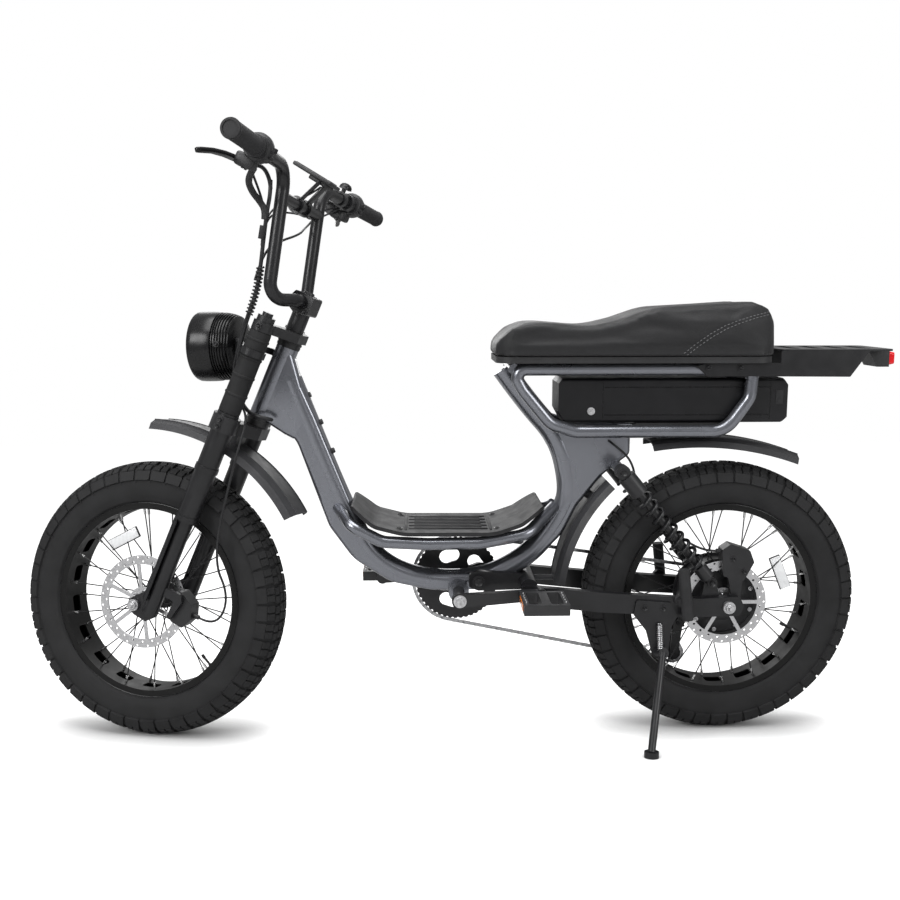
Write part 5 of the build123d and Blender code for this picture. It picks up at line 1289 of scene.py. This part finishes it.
class BIKE_OT_battery_details(bpy.types.Operator):
    """Make the battery's seams, key lock and charging port"""
    bl_idname = "bike.battery_details"
    bl_label = "Battery details"

    def execute(self, context):
        seams = [((x, side * (BATTERY_SIDE + 0.0001), 0.737), (0.0016, 0.0008, 0.078), 0.0003, 1)
                 for x in (0.270, -0.085) for side in (1, -1)]
        seams += [((0.092, side * (BATTERY_SIDE + 0.0002), z), (0.350, 0.0012, 0.0022), 0.0005, 1)
                  for side in (1, -1) for z in (0.707, 0.765)]
        blocks("battery_seams", seams, BIKE, "frame", "gloss")
        bm = bmesh.new()
        x, z = LOCK_AT
        add_rod(bm, (x, 0.0515, z), (x, 0.0545, z), 0.0085, 0.0080, sides=32)
        add_rod(bm, (x, 0.054, z), (x, 0.0555, z), 0.0052)
        finished("battery_lock", bm, BIKE, "frame", "steel")
        bm = bmesh.new()
        soften(bm, add_block(bm, (PORT_X, 0.0522, 0.744), (0.016, 0.002, 0.030)), 0.0009, 2)
        add_rod(bm, (PORT_X, 0.053, 0.736), (PORT_X, 0.0545, 0.736), 0.0045, sides=20)
        finished("battery_port", bm, BIKE, "frame", "grip")
        return {"FINISHED"}


JOCKEY_TEETH = 12
JOCKEY_RADIUS = 0.0172
PEDAL_MIDDLE = 0.050


class BIKE_OT_drive_details(bpy.types.Operator):
    """Make the jockey wheels and the pedals' grip pins and reflectors"""
    bl_idname = "bike.drive_details"
    bl_label = "Drive details"

    def execute(self, context):
        bm = bmesh.new()
        for x, z, _, _ in CHAIN_WHEELS[1:3]:
            for number in range(JOCKEY_TEETH):
                angle = tau * number / JOCKEY_TEETH
                at = (x + JOCKEY_RADIUS * cos(angle), CHAIN_Y, z + JOCKEY_RADIUS * sin(angle))
                add_block(bm, at, (0.004, 0.0022, 0.0040), Matrix.Rotation(-angle, 4, "Y"))
            for side in (1, -1):
                add_rod(bm, (x, CHAIN_Y + side * 0.009, z), (x, CHAIN_Y + side * 0.0125, z), 0.0045, sides=16)
        finished("jockey_wheels", bm, BIKE, "frame", "grip")
        for side, name in SIDES:
            place = self.pedal_place(side)
            bm = bmesh.new()
            for x in (-0.040, 0.040):
                for number in range(5):
                    y = side * (0.018 + number * 0.016)
                    for up in (1, -1):
                        add_rod(bm, (x, y, up * 0.0105), (x, y, up * 0.0135), 0.0020, 0.0014, sides=8)
            finished(f"pedal_pins_{name}", bm, place, f"pedal_{name}", "zinc")
            glasses = [((x, side * PEDAL_MIDDLE, 0), (0.0024, 0.062, 0.014), 0.0008, 1)
                       for x in (-0.0462, 0.0462)]
            blocks(f"pedal_reflectors_{name}", glasses, place, f"pedal_{name}", "amber")
        return {"FINISHED"}

    def pedal_place(self, side):
        """The bike's directions at the inner end of a pedal's cage."""
        low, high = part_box("pedal_left" if side == 1 else "pedal_right")
        made = BIKE.copy()
        made.translation = (Vector(low) + Vector(high)) / 2 - BIKE.to_3x3() @ (ACROSS * side * PEDAL_MIDDLE)
        return made


BAR_CABLES = (  # name, radius, finish, points in the fork's frame
    ("cable_sleeve", 0.0066, "sleeve", (
        (0.108, 0.222, 0.930), (0.118, 0.214, 0.908), (0.122, 0.170, 0.890), (0.118, 0.132, 0.880),
        (0.103, 0.1225, 0.868), (0.098, 0.1215, 0.850))),
    ("switch_cable", 0.0042, "hose", (
        (0.104, 0.262, 0.936), (0.122, 0.215, 0.932), (0.124, 0.160, 0.944), (0.1185, 0.118, 0.926),
        (0.1105, 0.1195, 0.910))),
    ("front_hose_upper", 0.0025, "hose", (
        (0.066, 0.106, 0.690), (0.066, 0.100, 0.630), (0.066, 0.078, 0.560), (0.060, 0.058, 0.515),
        (0.050, 0.051, 0.492))),
    ("left_lever_hose", 0.0025, "hose", (
        (0.112, 0.236, 0.942), (0.124, 0.200, 0.926), (0.120, 0.150, 0.900), (0.112, 0.128, 0.880),
        (0.101, 0.1240, 0.858))),
    ("right_lever_hose", 0.0025, "hose", (
        (0.116, -0.196, 0.930), (0.128, -0.184, 0.905), (0.118, -0.140, 0.880), (0.100, -0.085, 0.868),
        (0.070, 0.000, 0.850), (0.074, 0.070, 0.822), (0.086, 0.098, 0.790), (0.080, 0.099, 0.730))),
    ("throttle_cable", 0.0022, "hose", (
        (0.104, -0.235, 0.944), (0.124, -0.218, 0.912), (0.134, -0.184, 0.900), (0.116, -0.130, 0.892),
        (0.108, -0.078, 0.894), (0.108, 0.010, 0.884), (0.106, 0.080, 0.868), (0.098, 0.112, 0.838),
        (0.088, 0.112, 0.800))),
    ("display_cable", 0.0020, "hose", (
        (0.060, 0.010, 0.958), (0.074, 0.020, 0.930), (0.106, 0.040, 0.900), (0.108, 0.086, 0.876),
        (0.098, 0.114, 0.838), (0.089, 0.1145, 0.806))),
)


class BIKE_OT_bar_cables(bpy.types.Operator):
    """Make the short cables from the levers and switches into the bundle"""
    bl_idname = "bike.bar_cables"
    bl_label = "Cables at the bars"

    def execute(self, context):
        for name, radius, finish, points in BAR_CABLES:
            cable = route_curve(name, points, FORK, radius, finish)
            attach(cable, "steering")
        bm = bmesh.new()
        soften(bm, add_rod(bm, (0.0955, 0.1205, 0.838), (0.0905, 0.1175, 0.812), 0.0072, sides=20), 0.0008, 2)
        finished("cable_joint", bm, FORK, "steering", "board")
        return {"FINISHED"}


HEADSET_RINGS = ((0.4535, 0.0262), (0.4605, 0.0254), (0.6265, 0.0254), (0.6335, 0.0264), (0.6385, 0.0254))
FORK_LEG = (0.033, 0.084)
GAITER_BANDS = (0.500, 0.541, 0.581, 0.621)
GUSSET = ((0.922, 0.838), (0.950, 0.850), (1.004, 0.724), (0.982, 0.690), (0.944, 0.664), (0.918, 0.650),
          (0.888, 0.700), (0.905, 0.770))
GUSSET_HALF = 0.0224
SPINE_LINE = ((0.478, 0, 0.802), (0.424, 0, 0.728), (0.355, 0, 0.652), (0.331, 0, 0.553), (0.339, 0, 0.499),
              (0.409, 0, 0.396), (0.520, 0, 0.338), (0.652, 0, 0.338), (0.752, 0, 0.381), (0.811, 0, 0.478),
              (0.895, 0, 0.691), (0.928, 0, 0.780))
FENDER_BANDS = (  # name, hub x, hub z, radius, first and last angle, frame, body
    ("front", 0.068, 0.0, 0.3921, 69, 127, FORK, "steering"),
    ("rear_lower", 0.0, 0.300, 0.3661, 6, 46, BIKE, "frame"),
    ("rear_upper", 0.062, 0.016, 0.6411, 81, 110, BIKE, "frame"),
)
BAND_STEPS = 40
STAND_SPRING = (Vector((0.150, 0.112, 0.268)), Vector((0.148, 0.116, 0.212)))
STAND_SPRING_TURNS = 14
STAND_SPRING_STEPS = 12


class BIKE_OT_trim(bpy.types.Operator):
    """Make the headset rings, fork sleeves, frame web and tube, fender edges and the stand's spring"""
    bl_idname = "bike.trim"
    bl_label = "Trim"

    def execute(self, context):
        bm = bmesh.new()
        for low, radius in HEADSET_RINGS:
            add_ring(bm, 0.0150, radius, low, low + 0.0035)
        finished("headset_rings", bm, FORK, "frame", "alloy")
        self.fork_gaiters()
        self.head_gusset()
        tube = route_curve("spine_tube", SPINE_LINE, BIKE, 0.0238, "paint")
        tube.data.bevel_resolution = 10
        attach(tube, "frame")
        for band in FENDER_BANDS:
            self.fender_band(*band)
        self.stand_spring()
        return {"FINISHED"}

    def fork_gaiters(self):
        """Rubber sleeves over the fork tubes, with a thin ridge at each band."""
        bm = bmesh.new()
        profile = [(0.0186, 0.4585), (0.0220, 0.4590), (0.0228, 0.4620)]
        for z in GAITER_BANDS:
            profile += [(0.0228, z - 0.0030), (0.0242, z - 0.0014), (0.0242, z + 0.0014),
                        (0.0228, z + 0.0030)]
        profile += [(0.0228, 0.6360), (0.0220, 0.6390), (0.0186, 0.6395)]
        for side in (1, -1):
            before = set(bm.verts)
            spun_round(bm, profile, 48)
            leg = [vert for vert in bm.verts if vert not in before]
            bmesh.ops.translate(bm, vec=(FORK_LEG[0], side * FORK_LEG[1], 0), verts=leg)
        face_out(bm)
        finished("fork_gaiters", bm, FORK, "steering", "tyre", sharp=28)

    def head_gusset(self):
        """The flared web that runs from the head tube into the down tube."""
        bm = bmesh.new()
        add_plate(bm, [(x, -GUSSET_HALF, z) for x, z in GUSSET], (0, 2 * GUSSET_HALF, 0))
        soften(bm, list(bm.verts), 0.010, 4)
        finished("head_gusset", bm, BIKE, "frame", "paint", sharp=60)

    def fender_band(self, name, hub_x, hub_z, radius, first, last, place, body):
        """The thin edges of a fender's raised middle band."""
        bm = bmesh.new()
        for side in (1, -1):
            angles = [radians(first + (last - first) * step / BAND_STEPS) for step in range(BAND_STEPS + 1)]
            line = [(hub_x + radius * cos(angle), side * 0.0302, hub_z + radius * sin(angle))
                    for angle in angles]
            for start, end in zip(line, line[1:]):
                add_rod(bm, start, end, 0.0014, sides=6)
        finished(f"fender_band_{name}", bm, place, body, "fender")

    def stand_spring(self):
        bm = bmesh.new()
        start, end = (BIKE @ point for point in STAND_SPRING)
        steps = STAND_SPRING_TURNS * STAND_SPRING_STEPS
        place = Matrix.Translation((0.0055, 0, 0)) @ Matrix.Rotation(pi / 2, 4, "X")
        ring = bmesh.ops.create_circle(bm, segments=8, radius=0.0012, matrix=place)["verts"]
        bmesh.ops.spin(bm, geom=ring + list(bm.edges), cent=(0, 0, 0), axis=(0, 0, 1),
                       dvec=(0, 0, (end - start).length / steps), angle=tau * STAND_SPRING_TURNS, steps=steps)
        face_out(bm)
        finished("stand_spring", bm, along(start, end), "frame", "zinc")


# Stage

# The camera as fitted to the photograph, in the bike's frame
CAMERA_AT = (0.6563, 2.1765, 0.951)
CAMERA_YAW = 0.0303
CAMERA_PITCH = 0.1481
CAMERA_LENS = 1019.5 / 900 * 36
SKY_LEVEL = 0.42
FLOOR_GREY = 0.55
FLOOR_GLOW = 0.85
# How far and how steeply the painted contact shadow dims the floor's glow
PAINTED_SHADOW_REACH = 0.13
PAINTED_SHADOW_POWER = 3.5
LAMPS = (  # name, place, size, power
    ("overhead", (0.2, 0.8, 3.2), 2.4, 105),
    ("key", (2.6, 2.8, 2.2), 1.6, 90),
    ("fill", (-2.8, 2.6, 1.6), 1.6, 50),
    ("rim", (0.4, -3.2, 2.2), 2.2, 35),
)
LAMPS_AIM = Vector((0, 0, 0.5))


class BIKE_OT_stage(bpy.types.Operator):
    """Make the floor, the lamps and the camera"""
    bl_idname = "bike.stage"
    bl_label = "Stage"

    def execute(self, context):
        scene = context.scene
        scene.view_settings.view_transform = "Standard"
        self.make_floor(scene)
        self.make_world(scene)
        self.make_lamps(scene)
        self.make_camera(scene)
        return {"FINISHED"}

    def make_floor(self, scene):
        """A white floor whose glow is dimmed by ambient occlusion close under the wheels: a painted contact
        shadow.
        """
        bm = bmesh.new()
        bmesh.ops.create_grid(bm, x_segments=1, y_segments=1, size=30)
        mesh = bpy.data.meshes.new("floor")
        bm.to_mesh(mesh)
        bm.free()
        floor = in_scene("floor", mesh)
        material, tree, _ = start_material("studio_floor")
        tree.nodes.clear()
        # Painted shadow: the glow the camera sees is multiplied by ambient occlusion, so it darkens close
        # under the wheels.
        near = add_node(tree, "AmbientOcclusion", {"Distance": PAINTED_SHADOW_REACH}, samples=8)
        painted_shadow = add_node(tree, "Math", {0: near.outputs["AO"], 1: PAINTED_SHADOW_POWER}, operation="POWER")
        level = add_node(tree, "Math", {0: painted_shadow.outputs["Value"], 1: FLOOR_GLOW}, operation="MULTIPLY")
        path = add_node(tree, "LightPath", {})
        seen = add_node(tree, "Math", {0: path.outputs["Is Camera Ray"], 1: level.outputs["Value"]},
                        operation="MULTIPLY")
        glow = add_node(tree, "Emission", {"Color": (1, 1, 1, 1), "Strength": seen.outputs["Value"]})
        surface = add_node(tree, "BsdfDiffuse", {"Color": (FLOOR_GREY, FLOOR_GREY, FLOOR_GREY, 1)})
        both = add_node(tree, "AddShader", {0: surface.outputs["BSDF"], 1: glow.outputs["Emission"]})
        add_node(tree, "OutputMaterial", {"Surface": both.outputs["Shader"]})
        mesh.materials.append(material)

    def make_world(self, scene):
        """A soft white sky, plain white where the camera sees it, straight or through the glass."""
        world = bpy.data.worlds.new("studio")
        scene.world = world
        world.use_nodes = True
        tree = world.node_tree
        path = add_node(tree, "LightPath", {})
        rays = {0: path.outputs["Is Camera Ray"], 1: path.outputs["Is Transmission Ray"]}
        first = add_node(tree, "Math", rays, operation="MAXIMUM")
        level = add_node(tree, "MapRange", {"Value": first.outputs["Value"], "To Min": SKY_LEVEL,
                                            "To Max": 1.0})
        put(tree, tree.nodes["Background"], {"Color": (1, 1, 1, 1), "Strength": level.outputs["Result"]})

    def make_lamps(self, scene):
        """A broad lamp overhead, one each side of the camera and one behind."""
        for name, at, size, power in LAMPS:
            lamp = bpy.data.lights.new(name, "AREA")
            lamp.energy = power
            lamp.size = size
            piece = in_scene(name, lamp)
            piece.location = at
            piece.rotation_euler = (LAMPS_AIM - Vector(at)).to_track_quat("-Z", "Y").to_euler()

    def make_camera(self, scene):
        data = bpy.data.cameras.new("camera")
        data.lens = CAMERA_LENS
        data.sensor_width = 36
        camera = in_scene("camera", data)
        ahead = Vector((-sin(CAMERA_YAW) * cos(CAMERA_PITCH), -cos(CAMERA_YAW) * cos(CAMERA_PITCH),
                        -sin(CAMERA_PITCH)))
        right = ahead.cross(Vector((0, 0, 1))).normalized()
        camera.matrix_world = BIKE @ frame_of(Vector(CAMERA_AT), right, right.cross(ahead), -ahead)
        scene.camera = camera


STEPS = (BIKE_OT_finishes, BIKE_OT_stage, BIKE_OT_cables, BIKE_OT_tyres, BIKE_OT_seat, BIKE_OT_chain,
         BIKE_OT_wheel_fittings, BIKE_OT_handlebar_fittings, BIKE_OT_levers, BIKE_OT_display,
         BIKE_OT_headlamp, BIKE_OT_bar_cables, BIKE_OT_bolts, BIKE_OT_board_ribs,
         BIKE_OT_battery_details, BIKE_OT_drive_details, BIKE_OT_trim)


class BIKE_PT_panel(bpy.types.Panel):
    """Lists the steps that dress the bike"""
    bl_idname = "BIKE_PT_panel"
    bl_label = "Electric bike"
    bl_space_type = "VIEW_3D"
    bl_region_type = "UI"
    bl_category = "E-bike"

    def draw(self, context):
        layout = self.layout
        for group in (context.scene.bike_sizes, context.scene.bike_colours):
            for name in group.bl_rna.properties.keys():
                if name not in ("rna_type", "name"):
                    layout.prop(group, name)
        for operator in STEPS:
            layout.operator(operator.bl_idname)


CLASSES = (BikeSizes, BikeColours, *STEPS, BIKE_PT_panel)


def register():
    for cls in CLASSES:
        bpy.utils.register_class(cls)
    bpy.types.Scene.bike_sizes = PointerProperty(type=BikeSizes)
    bpy.types.Scene.bike_colours = PointerProperty(type=BikeColours)


def unregister():
    del bpy.types.Scene.bike_colours
    del bpy.types.Scene.bike_sizes
    for cls in reversed(CLASSES):
        bpy.utils.unregister_class(cls)


def main():
    register()
    for operator in STEPS:
        group, step = operator.bl_idname.split(".")
        getattr(getattr(bpy.ops, group), step)()


if __name__ == "__main__":
    main()
